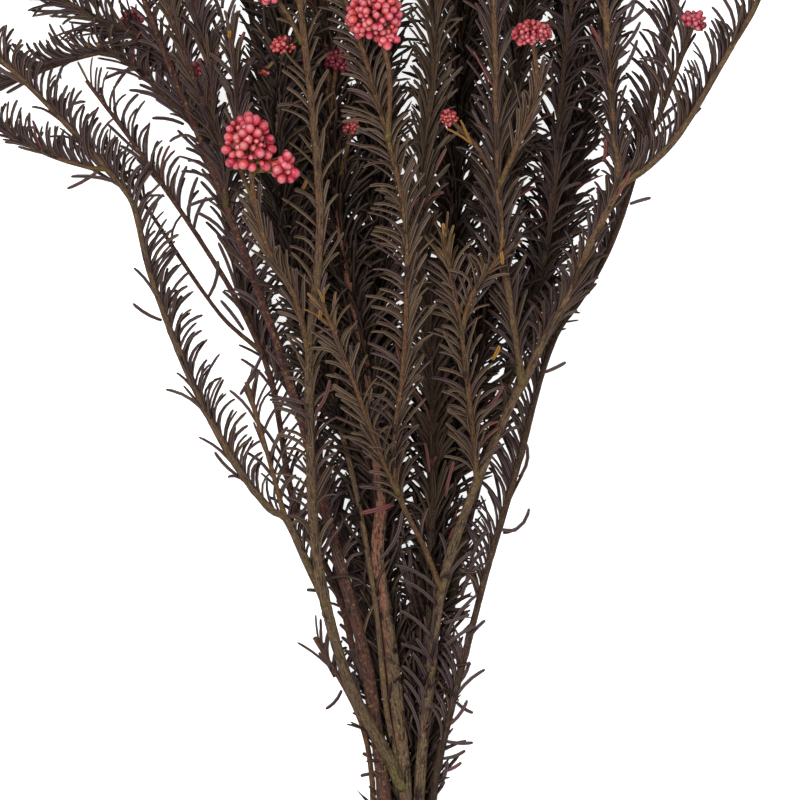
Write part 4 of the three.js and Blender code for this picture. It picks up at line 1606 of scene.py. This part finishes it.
STEMS = [
    Stem("middle_stem", Bark.OLIVE, habit=FRONT, low_leaves=2, shoots=[
        # The trunk, which rises behind the leaves.
        Shoot((5.6, 1.5), 92, LARGE, ((1.6, -70, 8), (2.7, -38, 8.4), (1.7, 0, 8.5), (-0.6, 26, 10),
              (-5.2, 65, 16), (-7.5, 81, 20), (-6.5, 99, 25), (-10, 132, 33), (-21, 198, 43),
              (-25, 264, 48), (-31, 352, 52), (-33, 384, 52)), habit=INNER, redness=0.62),
        # The stem that crosses in front of the others and rises left of the middle.
        Shoot((4, 1.5), 76, LARGE, ((0.5, 2, 9.5), (-3.8, 13, 12.5), (-15, 33, 18), (-23.6, 60, 25),
              (-28, 84, 34), (-29.3, 106, 42), (-29.7, 152, 57), (-27, 175, 62), (-26.4, 198, 65),
              (-33, 264, 70), (-45, 345, 69), (-49, 368, 67)), habit=MOSSY, shade=0.15),
        # A thin shoot between the two, which ends in the small head at the top left.
        Shoot((2, 1.5), 60, FRONT_SMALL, ((0.2, 5, 9), (-4.6, 30, 13), (-8.4, 66, 18), (-16, 108, 29),
              (-33, 170, 47), (-40, 200, 53), (-40.5, 225, 57), (-38.6, 248.5, 61)), habit=INNER,
              bare=(50, 122), redness=0.1, warmth=0.2),
        # The long outer shoot on the left, which leaves the bunch low down.
        Shoot((2.8, 1.5), 72, None, ((-24.5, 64, 26.5), (-30.4, 77, 28), (-38, 93, 30), (-43, 95.7, 31),
              (-56, 113, 33), (-69.3, 139, 35), (-82.5, 173, 37), (-87.8, 195, 38), (-90.8, 201, 38),
              (-105.6, 218, 38.5), (-132, 244.5, 40), (-150, 257, 38)), habit=OUTER, crowd=1.2, redness=0.4,
              warmth=0.3, shade=0.1),
        # Its lower side shoot.
        Shoot((1.6, 1.5), 200, None, ((-97, 208.5, 38), (-102, 208.7, 40), (-118, 214, 41.5),
              (-146, 229, 36)), habit=SHORT, crowd=1.4),
        # A short shoot above its bend.
        Shoot((1.7, 1.5), 96, None, ((-38, 92.5, 30), (-43.6, 113, 36), (-50.8, 138, 41.5)), habit=OUTER,
              crowd=0.4),
        # The shoot that carries the largest head, at the front.
        Shoot((2, 1.7), 156, FRONT_LARGEST, ((-29.5, 145, 55), (-34.7, 166, 63), (-42.2, 179, 69),
              (-47.5, 196, 73), (-49.5, 215, 78)), habit=PRESSED),
        # The young shoot behind that head.
        Shoot((1.6, 1.5), 212, None, ((-47.8, 197, 72.5), (-52.5, 209, 66), (-54, 240, 69), (-56, 254, 70)),
              habit=CLOSE, crowd=1.4),
        # Two small heads on the trunk, deep inside.
        Shoot((1.5, 1.5), BARE, HIDDEN, ((-22.5, 225, 45.5), (-22, 235, 50), (-20.5, 243.5, 54))),
        Shoot((1.5, 1.5), BARE, TINY, ((-20, 206, 43), (-17.5, 215, 47), (-16, 222.4, 50))),
        # A small head at the front, above the largest one.
        Shoot((1.6, 1.5), BARE, FRONT_HIGH, ((-32.2, 249, 69.5), (-36, 257, 73), (-42, 266, 76))),
    ], strays=(
        Stray((-78.9, 158.4, 35.5), (-88.4, 164, 38), -0.25),
        Stray((-53.8, 106.9, 31), (-61.4, 114.8, 34), -0.2), Stray((-27.1, 68.6, 26), (-31, 69, 28), 0.1),
        Stray((-30.4, 130.3, 58), (-42.9, 132, 62), 0.35),
        Stray((-29.7, 125.4, 57), (-42.2, 131.3, 63), 0.4),
        Stray((-27.7, 128, 59), (-23.1, 138.6, 64), 0.3, red=0.3),
        Stray((-93.7, 203.9, 38), (-108.9, 205.9, 40), 0.25),
        Stray((-99, 208.6, 39), (-110.2, 202, 37), -0.2, red=0.2),
        Stray((-5.3, 108.9, 24), (-19.8, 118.8, 30), 0.3),
        Stray((-2, 97.5, 33), (-12.5, 94.7, 38), -0.1, red=0.6, width=1.6 * MM),
        Stray((-56.1, 250.8, 71.5), (-55.8, 253.1, 73.5), 0, ochre=0.9),
        Stray((-26.4, 158.4, 75), (-26.1, 161.4, 77), 0.1, ochre=0.5),
        Stray((-32, 201.3, 66), (-30.7, 204.3, 68), 0.1, ochre=0.6, olive=1),
        Stray((-58.1, 252.8, 65), (-61.7, 265.3, 67), 0.3),
        Stray((-56.8, 255.4, 66), (-52.5, 266.6, 68), -0.3),
        Stray((-59.4, 258.1, 65), (-63.7, 269.3, 67), 0.3),
        Stray((-58.4, 260.7, 66), (-55.1, 271.9, 68), -0.3),
        Stray((-59.7, 250.1, 64), (-64, 261.4, 66), 0.3), Stray((-57.1, 248.8, 65), (-52.5, 260, 67), -0.3),
        Stray((-59.1, 263.3, 66), (-62, 275.2, 68), 0.3),
    )),
    Stem("right_stem", Bark.OLIVE, habit=FRONT, redness=0.2, low_leaves=70, shoots=[
        # The trunk and the left arm of its fork.
        Shoot((4, 1.5), 84, LARGE, ((6.2, -66, 8), (7.3, -34, 8.4), (6.5, 0, 8.2), (9.2, 33, 11),
              (14.7, 72.6, 19), (24, 101, 29), (37, 131, 39), (41.3, 138.6, 41), (48.3, 154, 43),
              (56, 167, 45), (60.4, 178, 46), (69, 195.7, 47.5), (72.5, 204, 48), (70.6, 219, 51),
              (67.7, 264, 55), (65, 340, 54), (64, 366, 53)), habit=CLOSE, bare=(80, 146)),
        # The right arm, which makes the bunch's outline at the top right.
        Shoot((2.4, 1.5), 203, LARGE, ((72.5, 203, 48), (81.8, 209, 49), (92.4, 220.4, 51),
              (110.2, 250, 55), (118, 264, 56), (132, 310, 51), (136, 332, 46)), habit=SWEPT, redness=0.4,
              warmth=0.3, crowd=1.2),
        # The big leafy shoot in the middle, in front of everything.
        Shoot((1.8, 1.5), 80, LARGE, ((14, 68, 18.5), (8.3, 82.5, 27), (0, 100, 42), (-2, 115.5, 54),
              (1, 142, 66), (2.3, 171.6, 73), (0.6, 198, 76.5), (-10, 239, 79), (-24, 285, 79),
              (-31, 348, 77)), habit=ARCHED, bare=(60, 98)),
        # The stalk of the head at the top of the middle.
        Shoot((1.8, 1.6), BARE, FRONT_TOP, ((-4, 217, 78), (-3.6, 240, 85), (-8.6, 257.5, 88))),
        # The young front shoot left of the middle.
        Shoot((1.8, 1.5), 108, None, ((-0.7, 101, 43), (-7.6, 117, 57), (-14.9, 137, 66),
              (-25.7, 164, 72))),
        # The young front shoot right of the middle, and its side shoot.
        Shoot((2, 1.5), 106, None, ((25.7, 104, 30), (24.1, 120.5, 42), (20.5, 152, 58),
              (14.2, 187.4, 67.5))),
        Shoot((1.6, 1.5), 158, None, ((20.2, 154, 59), (23.8, 166.6, 64), (34, 181, 69))),
        # The upright shoot right of the middle.
        Shoot((2.6, 1.5), 142, LARGE, ((40.3, 137, 40.5), (38.3, 151.8, 51), (34.7, 175, 63),
              (32.3, 201, 70), (30.7, 264, 76), (27, 345, 75), (26, 374, 73)), habit=UPRIGHT),
        # The stalks of two heads that it carries.
        Shoot((1.8, 1.5), 212, FRONT_FLAT, ((32.5, 202, 70), (40.3, 220.4, 76), (44.9, 234, 78),
              (43.2, 252, 82)), habit=PRESSED),
        Shoot((1.6, 1.5), BARE, TINY, ((32, 205, 71), (24.8, 215.5, 76), (16, 224.4, 80))),
    ], strays=(
        Stray((12.2, 69.3, 21), (-1.7, 77.2, 26), 0.35), Stray((11.9, 64, 20), (-0.3, 72.6, 25), 0.3),
        Stray((10.6, 52.8, 17), (0, 62, 20), 0.3), Stray((9.9, 46.2, 15), (0.3, 50.8, 16), 0.3),
        Stray((8.9, 33, 13), (0.7, 43.6, 15), 0.3), Stray((7.6, 29, 12), (1.3, 38.9, 14), 0.25),
        Stray((6.9, 19.1, 11), (1.3, 34.3, 12), 0.25), Stray((10.9, 43.6, 15), (5.3, 52.8, 22), 0.1),
        Stray((9.9, 36.3, 14), (4.3, 47.9, 21), 0.15), Stray((15.5, 72.6, 21), (23.8, 81.8, 24), -0.2),
        Stray((15.2, 52.8, 16), (25.7, 67.3, 20), -0.3), Stray((14.5, 57.8, 17), (23.1, 60.7, 19), 0.1),
        Stray((14.5, 49.5, 15), (25.1, 56.8, 17), -0.2),
        Stray((9.6, 108, 34), (8.2, 117.8, 42), 0.1, red=0.5, width=MM),
        Stray((15.2, 100, 34), (17.8, 111.5, 40), -0.1, red=0.45, width=MM),
        Stray((0.7, 95, 44), (-6.6, 79.2, 40), -0.4), Stray((75.9, 196.7, 49), (82.8, 198.7, 50), -0.1),
        Stray((47.9, 141.2, 44), (54.8, 144.5, 46), 0.1),
        Stray((67.3, 210.5, 50), (67.7, 217.8, 54), 0.1, red=0.6),
        Stray((27.7, 128, 42), (34, 136.6, 48), 0.2, red=0.4),
        Stray((33.6, 176.5, 73), (33.2, 180.5, 75), 0.1, ochre=0.8),
        Stray((30.4, 145.2, 62), (32.7, 149.8, 66), 0.1, ochre=0.9),
        Stray((14.9, 185.5, 70), (14.2, 190, 72), -0.1, ochre=0.8),
        # A small fan of fresh leaves.
        *(Stray((23.8, 215.5, 77.5), (x, y, 82), bow, ochre=0.6, olive=1, width=0.8 * MM)
          for x, y, bow in ((15.2, 220.8, 0.2), (16.5, 222.8, 0.2), (18.2, 223.7, 0.1), (19.8, 223.7, 0),
                            (20.8, 221.8, -0.1))),
        Stray((4, 64, 13), (-0.3, 77.2, 15), 0.2), Stray((3, 70.6, 14), (-1, 85.8, 15), 0.1),
        Stray((4.6, 69.3, 14), (3.3, 81.8, 16), -0.1), Stray((1.3, 85.8, 13), (-2.3, 97, 14), 0.2),
        Stray((0.7, 79.2, 12), (-3, 92.4, 13), 0.1), Stray((71, 238.3, 50), (78.2, 250.8, 54), 0.3),
        Stray((70, 244.9, 51), (79.2, 256.7, 55), 0.3), Stray((69.3, 250.8, 52), (77.2, 263.3, 55), 0.35),
        Stray((68.6, 257.4, 53), (79.2, 266.6, 55), 0.3), Stray((68.3, 262.4, 53), (75.9, 273.9, 55), 0.3),
        Stray((70.3, 254.1, 52), (80.9, 261.4, 54), 0.25), Stray((21.8, 70, 16), (28.4, 83.2, 20), -0.35),
        Stray((20.5, 66, 15), (26.4, 77.2, 18), -0.35), Stray((23.1, 75.9, 17), (29, 88.4, 22), -0.3),
    )),
    Stem("outer_right_stem", Bark.DARK, low_shade=0.3, habit=SWEPT, low_leaves=0, shoots=[
        Shoot((2.7, 1.3), 16, LARGE, ((10.4, -62, 7), (12, -32, 7.4), (11.2, 0, 7.5), (18.2, 33, 10),
              (28.2, 72.6, 16), (38.3, 107, 22.5), (46.5, 138.6, 28), (52.5, 155, 31), (60, 165.5, 33),
              (68.3, 180, 34.5), (75, 197.5, 36), (79.3, 212, 37.5), (87.5, 246, 39), (97, 290, 38),
              (103, 342, 30)), bare=(46, 66), crowd=1.25),
        # The stalk of the small head at the top right.
        Shoot((1.6, 1.5), 212, OUTER_SMALL, ((78, 207, 37), (86.5, 227.7, 47), (97, 256.7, 57))),
    ], strays=(
        Stray((34.3, 87.8, 19), (42.9, 96, 22), 0.75), Stray((33, 89.1, 20), (38.9, 88.8, 22), 0.2),
        Stray((39.6, 106.3, 22), (41.9, 117.5, 26), 0.5), Stray((19.5, 37.6, 11), (23.1, 44.9, 12), 0.3),
        Stray((18.5, 33, 11), (28.4, 42.2, 11), -0.3), Stray((18.8, 31.4, 10), (24.4, 27.7, 10), 0.3),
        Stray((15.5, 18.2, 9), (24.4, 17.8, 9), 0.2), Stray((14.5, 12.5, 9), (21.8, 15.2, 9), 0.3),
        Stray((14.2, 8.2, 8), (20.5, 11.2, 8), 0.3, red=0.3),
        Stray((16.5, 23.8, 10), (22.4, 32, 11), 0.3, red=0.2),
        Stray((17.2, 28.1, 10), (19.1, 37, 12), -0.2), Stray((13.5, 3.3, 8), (15.8, 11.6, 9), 0.2),
        Stray((20.8, 43.6, 12), (18.2, 52.8, 13), 0.2), Stray((21.8, 49.5, 13), (23.8, 57.4, 15), -0.2),
        Stray((23.1, 52.8, 14), (28.4, 58.7, 16), -0.2),
    )),
    Stem("red_stem", Bark.RED, habit=WOODY, low_leaves=20, shoots=[
        Shoot((6.2, 1.8), 66, LARGE, ((-4.4, -68, 8), (-5.9, -36, 8.5), (-5.2, 0, 8.2), (-8.5, 26, 9.8),
              (-11.7, 46, 13), (-16.3, 65, 16.5), (-21.8, 84, 20.5), (-34, 130, 31), (-43.6, 159, 37),
              (-61, 206, 45), (-72.6, 234, 49), (-91, 283, 51), (-103, 328, 45)), bare=(105, 160),
              redness=0.5, taper=1.8),
        # Two shoots that stand in front of it at the top left.
        Shoot((1.9, 1.5), 200, LARGE, ((-57.4, 196, 43.5), (-58.7, 213, 53), (-66, 233, 60), (-77, 264, 66),
              (-88, 316, 65)), habit=CLOSE, crowd=1.8),
        Shoot((1.7, 1.5), 228, None, ((-61.5, 222, 56.5), (-62.4, 243.5, 65), (-67, 258, 68),
              (-64, 344, 66)), habit=CLOSE, crowd=2.0),
        # The purple shoot behind, which parts into two long thin twigs.
        Shoot((2.6, 1.3), 56, None, ((-7.4, 22, 9.2), (-10, 34, 9.5), (-14.9, 46, 10.5), (-19, 63, 12.5),
              (-25, 77, 14.5), (-32, 90, 16.5), (-36.5, 103, 19), (-40, 124, 22), (-42.5, 137, 23),
              (-46.9, 150, 24), (-57.8, 171.6, 27), (-86.5, 214.5, 31), (-104, 238, 31)), habit=OUTER,
              bare=(145, 190), crowd=0.55),
        Shoot((1.5, 1.2), 160, None, ((-46, 148, 23.6), (-60, 160.7, 25), (-84.8, 197, 26), (-98, 216, 24)),
              habit=OUTER, bare=(148, 196), crowd=0.6),
        # A small head among the leaves at the top left.
        Shoot((1.6, 1.5), BARE, SMALL, ((-63, 211, 45.6), (-64.5, 226, 38), (-66.5, 241, 33))),
    ], strays=(
        Stray((-47.5, 141.2, 24), (-53.1, 133.7, 26), 0.1),
        Stray((-57.4, 186.5, 44), (-67.3, 194, 46), 0.3), Stray((-64, 165.7, 26), (-60.4, 178.2, 29), 0.35),
        Stray((-60.4, 198.7, 44), (-70, 196, 46), 0.2), Stray((-55.4, 177.5, 40), (-60.4, 186.5, 44), 0.2),
        Stray((-54.1, 168.3, 38), (-60.1, 184.1, 42), 0.1),
        Stray((-40.9, 138.6, 30), (-44.2, 150.2, 33), 0.2),
        Stray((-45.5, 147.8, 25), (-50.8, 137.9, 24), -0.1),
        Stray((-68.3, 188.8, 31), (-64, 199.3, 34), -0.3), Stray((-70, 192.7, 31), (-67, 205.9, 34), -0.25),
        Stray((-73.9, 196.4, 30), (-70.6, 209.6, 33), -0.25),
        Stray((-33, 128.7, 33), (-43.6, 133.7, 36), 0.3), Stray((-51.8, 155.1, 36), (-59.4, 165, 38), 0.1),
        # Short leaves along the lower part of the purple shoot.
        *(Stray((x, y, 11.5), (to_x, to_y, 12.5), 0.2) for x, y, to_x, to_y in (
            (-18.8, 67.3, -22.1, 72.6), (-18.2, 64, -21.8, 68.6), (-17.8, 60.7, -21.1, 65.3),
            (-17.2, 57.1, -20.8, 61.7), (-16.5, 53.5, -20.1, 57.4), (-15.8, 49.5, -19.5, 53.1),
            (-15.2, 45.5, -18.5, 48.8), (-14.5, 41.9, -17.8, 44.6), (-19.5, 70.6, -22.4, 76.2),
            (-14.2, 38.3, -17.2, 40.6))),
        Stray((-13.2, 30, 10.5), (-15.8, 41.6, 11.5), 0.2),
        Stray((-12.5, 26.7, 10.5), (-13.9, 38.3, 11.5), -0.2),
        Stray((-11.6, 35, 11), (-15.2, 46.2, 12), 0.25),
        Stray((-12.5, 40.9, 11.5), (-14.5, 52.1, 12.5), -0.2),
    )),
    Stem("thin_left_twig", Bark.OLIVE, habit=OUTER, shoots=[
        Shoot((2.6, 1.4), 30, None, ((-9.2, -64, 5), (-10.8, -30, 5.6), (-9, 0, 5.4), (-13.2, 25, 7),
              (-28.5, 53, 14)), redness=0.8, shade=0.15, crowd=0.5),
    ], strays=(
        Stray((-19.5, 35.3, 10), (-24.8, 29, 9), -0.4), Stray((-23.1, 42.2, 12), (-25.7, 51.2, 13), 0.1),
        Stray((-21.8, 39.6, 11), (-27.1, 47.9, 12), 0.2), Stray((-9.6, 12.5, 5.5), (-12.5, 14.2, 6), 0.1),
        Stray((-9.6, 7.3, 5.4), (-13.2, 6.6, 6), 0.1),
    )),
    Stem("back_stem_1", Bark.DARK, low_shade=0.3, habit=INNER, low_leaves=40, low_chance=0.3, shoots=[
        Shoot((4.4, 1.5), 70, None, ((-5.6, -70, 1.8), (-6.8, -36, 1.78), (-5.2, 0, 1.75), (-14, 70, 7.5),
              (-34, 130, 11), (-49.5, 158, 13), (-61, 204.6, 16), (-66, 221, 17), (-75.9, 231, 18),
              (-90.4, 244, 20), (-100, 247.5, 20), (-138, 235, 12)), habit=OUTER, crowd=1.6),
        Shoot((2, 1.5), 226, LARGE, ((-66, 219, 17), (-77.5, 247, 21), (-101.6, 259.4, 20), (-140, 281, 8)),
              habit=LATTICE, crowd=1.5),
        Shoot((1.6, 1.5), BARE, DEEP, ((-75.9, 230.5, 18), (-80, 240, 12), (-83, 247, 8))),
        Shoot((1.6, 1.5), BARE, DEEP, ((-77.5, 246, 21), (-84, 252, 15), (-90, 258, 11))),
    ], strays=(
        Stray((-75.9, 230.7, 18), (-90.1, 235, 20), 0.3),
        Stray((-71.9, 223.7, 17), (-82.5, 225.7, 19), 0.3),
        Stray((-64.4, 211.9, 16), (-71.3, 215.8, 18), 0.3),
        Stray((-85.8, 242.2, 20), (-98.7, 238.6, 18), 0.25),
        Stray((-82.5, 238.9, 20), (-87.1, 238.9, 19), 0.1),
        Stray((-88.8, 243.5, 20), (-94.7, 236.3, 18), 0.2),
        Stray((-100.7, 248.5, 20.5), (-99.9, 250.5, 22), 0.1, ochre=0.7),
        Stray((-103, 249, 20), (-103.8, 251, 21), 0.1, ochre=0.5),
    )),
    Stem("back_stem_2", Bark.DARK, low_shade=0.3, habit=INNER, low_leaves=110, low_chance=0.9, shoots=[
        Shoot((4.4, 1.5), 70, LARGE, ((-0.9, -72, 1.8), (0.6, -38, 1.78), (0, 0, 1.75), (-6, 70, 8),
              (-20, 140, 11), (-40, 220, 15), (-50, 264, 16), (-62, 366, 8)), bare=(86, 116, 236, 400),
              crowd=1.3),
        Shoot((2.4, 1.5), 90, None, ((-6, 70, 8), (-14, 110, 18), (-31, 190, 31), (-41, 270, 35),
              (-56, 352, 34)), bare=(88, 114)),
        Shoot((2.4, 1.5), 76, LARGE, ((-7, 75, 8.4), (-6, 120, 19), (-8, 200, 32), (-7, 285, 37),
              (-5, 382, 34)), crowd=1.2),
    ]),
    Stem("back_stem_3", Bark.DARK, low_shade=0.3, habit=INNER, low_leaves=110, low_chance=0.9, shoots=[
        Shoot((4.4, 1.5), 60, LARGE, ((4.4, -66, 1.8), (5.9, -34, 1.78), (5, 0, 1.75), (10, 70, 8),
              (16, 140, 11), (19, 220, 14), (22, 264, 15), (31, 372, 8)), crowd=1.4),
        Shoot((2.6, 1.5), 90, LARGE, ((10, 70, 8), (11, 120, 28), (9.5, 150, 45), (6.5, 185, 56),
              (8.5, 213, 61), (12.5, 272, 65), (13, 388, 60)), habit=BROAD, crowd=1.4),
        Shoot((2.4, 1.5), 100, None, ((13, 94, 9.2), (26, 150, 27), (38, 240, 38), (49, 352, 36))),
    ]),
    Stem("back_stem_4", Bark.DARK, low_shade=0.3, habit=INNER, low_leaves=20, low_chance=0.25, shoots=[
        Shoot((4, 1.5), 56, LARGE, ((9.6, -70, 1.62), (11.2, -36, 1.6), (10.2, 0, 1.57), (18, 70, 7),
              (33, 130, 10.5), (49.5, 191, 13), (56, 224, 15), (58, 315, 12), (61, 358, 8)), crowd=0.6,
              bare=(50, 150)),
        Shoot((2.2, 1.5), 136, LARGE, ((33, 128, 10.4), (47, 170, 13), (64, 240, 14), (78, 340, 8)),
              habit=LATTICE, crowd=1.8),
        Shoot((2.2, 1.5), 150, None, ((38, 146, 11.3), (49, 185, 33), (54, 240, 42), (67, 345, 40)),
              habit=LATTICE, crowd=0.8),
    ]),
]


@dataclass(frozen=True)
class Lamp:
    """A square soft light: its name, its place in metres, its side and its power in watts."""

    name: str
    place: Point
    size: float
    power: float


@dataclass
class Studio:
    """The floor, the lights and the camera, which is straight above aim.

    The picture's side spans the length picture. Lengths are in metres, the sensor's in millimetres.
    """

    picture: float = 264.0 * MM
    aim: tuple[float, float] = (7.0 * MM, -29.5 * MM)
    aim_height: float = 50.0 * MM
    distance: float = 4.0
    clip_end: float = 100.0
    sensor: float = 36.0
    floor_half: float = 30.0
    lamps: tuple[Lamp, ...] = (Lamp("soft key", (-0.5, 0.35, 1.6), 1.0, 30.0),
                               Lamp("soft fill", (0.9, -0.5, 1.2), 1.2, 9.0))
    sky_strength: float = 0.2

    def floor(self) -> None:
        """Lays a wide plain floor at the height on which the bunch lies."""
        half = self.floor_half
        corners = [(-half, -half, 0.0), (half, -half, 0.0), (half, half, 0.0), (-half, half, 0.0)]
        made = bpy.data.meshes.new("floor")
        made.from_pydata(corners, [], [(0, 1, 2, 3)])
        made.materials.append(FloorFinish("pale floor", 0.9).material())
        piece = bpy.data.objects.new("floor", made)
        bpy.context.scene.collection.objects.link(piece)

    def light(self, lamp: Lamp) -> None:
        """Hangs a lamp that looks at the bunch.

        Args:
            lamp: The lamp.
        """
        light = bpy.data.lights.new(lamp.name, "AREA")
        light.size = lamp.size
        light.energy = lamp.power
        piece = bpy.data.objects.new(lamp.name, light)
        piece.location = lamp.place
        back = np.array(lamp.place) - np.array([*self.aim, self.aim_height])
        tilt = math.atan2(math.hypot(back[0], back[1]), back[2])
        piece.rotation_euler = (tilt, 0.0, math.atan2(back[0], -back[1]))
        bpy.context.scene.collection.objects.link(piece)

    def sky(self) -> None:
        """Sets an even white light from all round."""
        world = bpy.data.worlds.new("studio")
        world.use_nodes = True
        background = world.node_tree.nodes["Background"]
        background.inputs["Color"].default_value = (1.0, 1.0, 1.0, 1.0)
        background.inputs["Strength"].default_value = self.sky_strength
        bpy.context.scene.world = world

    def camera(self) -> None:
        """Sets the camera, which looks straight down through a lens of sensor * distance / picture."""
        lens = bpy.data.cameras.new("camera")
        lens.sensor_width = self.sensor
        lens.lens = self.sensor * self.distance / self.picture
        lens.clip_end = self.clip_end
        piece = bpy.data.objects.new("camera", lens)
        piece.location = (*self.aim, self.aim_height + self.distance)
        bpy.context.scene.collection.objects.link(piece)
        bpy.context.scene.camera = piece

    def build(self) -> None:
        """Sets up the whole studio."""
        self.camera()
        self.floor()
        for lamp in self.lamps:
            self.light(lamp)
        self.sky()
        bpy.context.scene.view_settings.view_transform = "Standard"


def flower_heads() -> list[FlowerHead]:
    """Places a flower head at the end of each shoot that has one.

    Returns:
        The heads, numbered in the order of the stems and their shoots.
    """
    heads = []
    for shoot in (shoot for stem in STEMS for shoot in stem.shoots if shoot.head):
        route = placed(np.array(shoot.route))
        name = f"flower_head_{len(heads) + 1:02d}"
        heads.append(FlowerHead(name, shoot.head, route[-1], unit(route[-1] - route[-2])))
    return heads


def main() -> None:
    """Builds the studio, the heads and the stems, and reports each piece."""
    logging.basicConfig(level=logging.INFO, format="%(message)s")
    Studio().build()
    finishes = Finishes.make()
    random = np.random.default_rng(SEED)
    heads = flower_heads()
    pieces = [piece for head in heads for piece in head.build(finishes, random)]
    for stem in STEMS:
        pieces += [stem.wood(finishes, random), *stem.leaves(finishes, heads, random)]
    for piece in pieces:
        LOG.info("%s: %d faces", piece.name, len(piece.data.polygons))


if __name__ == "__main__":
    main()
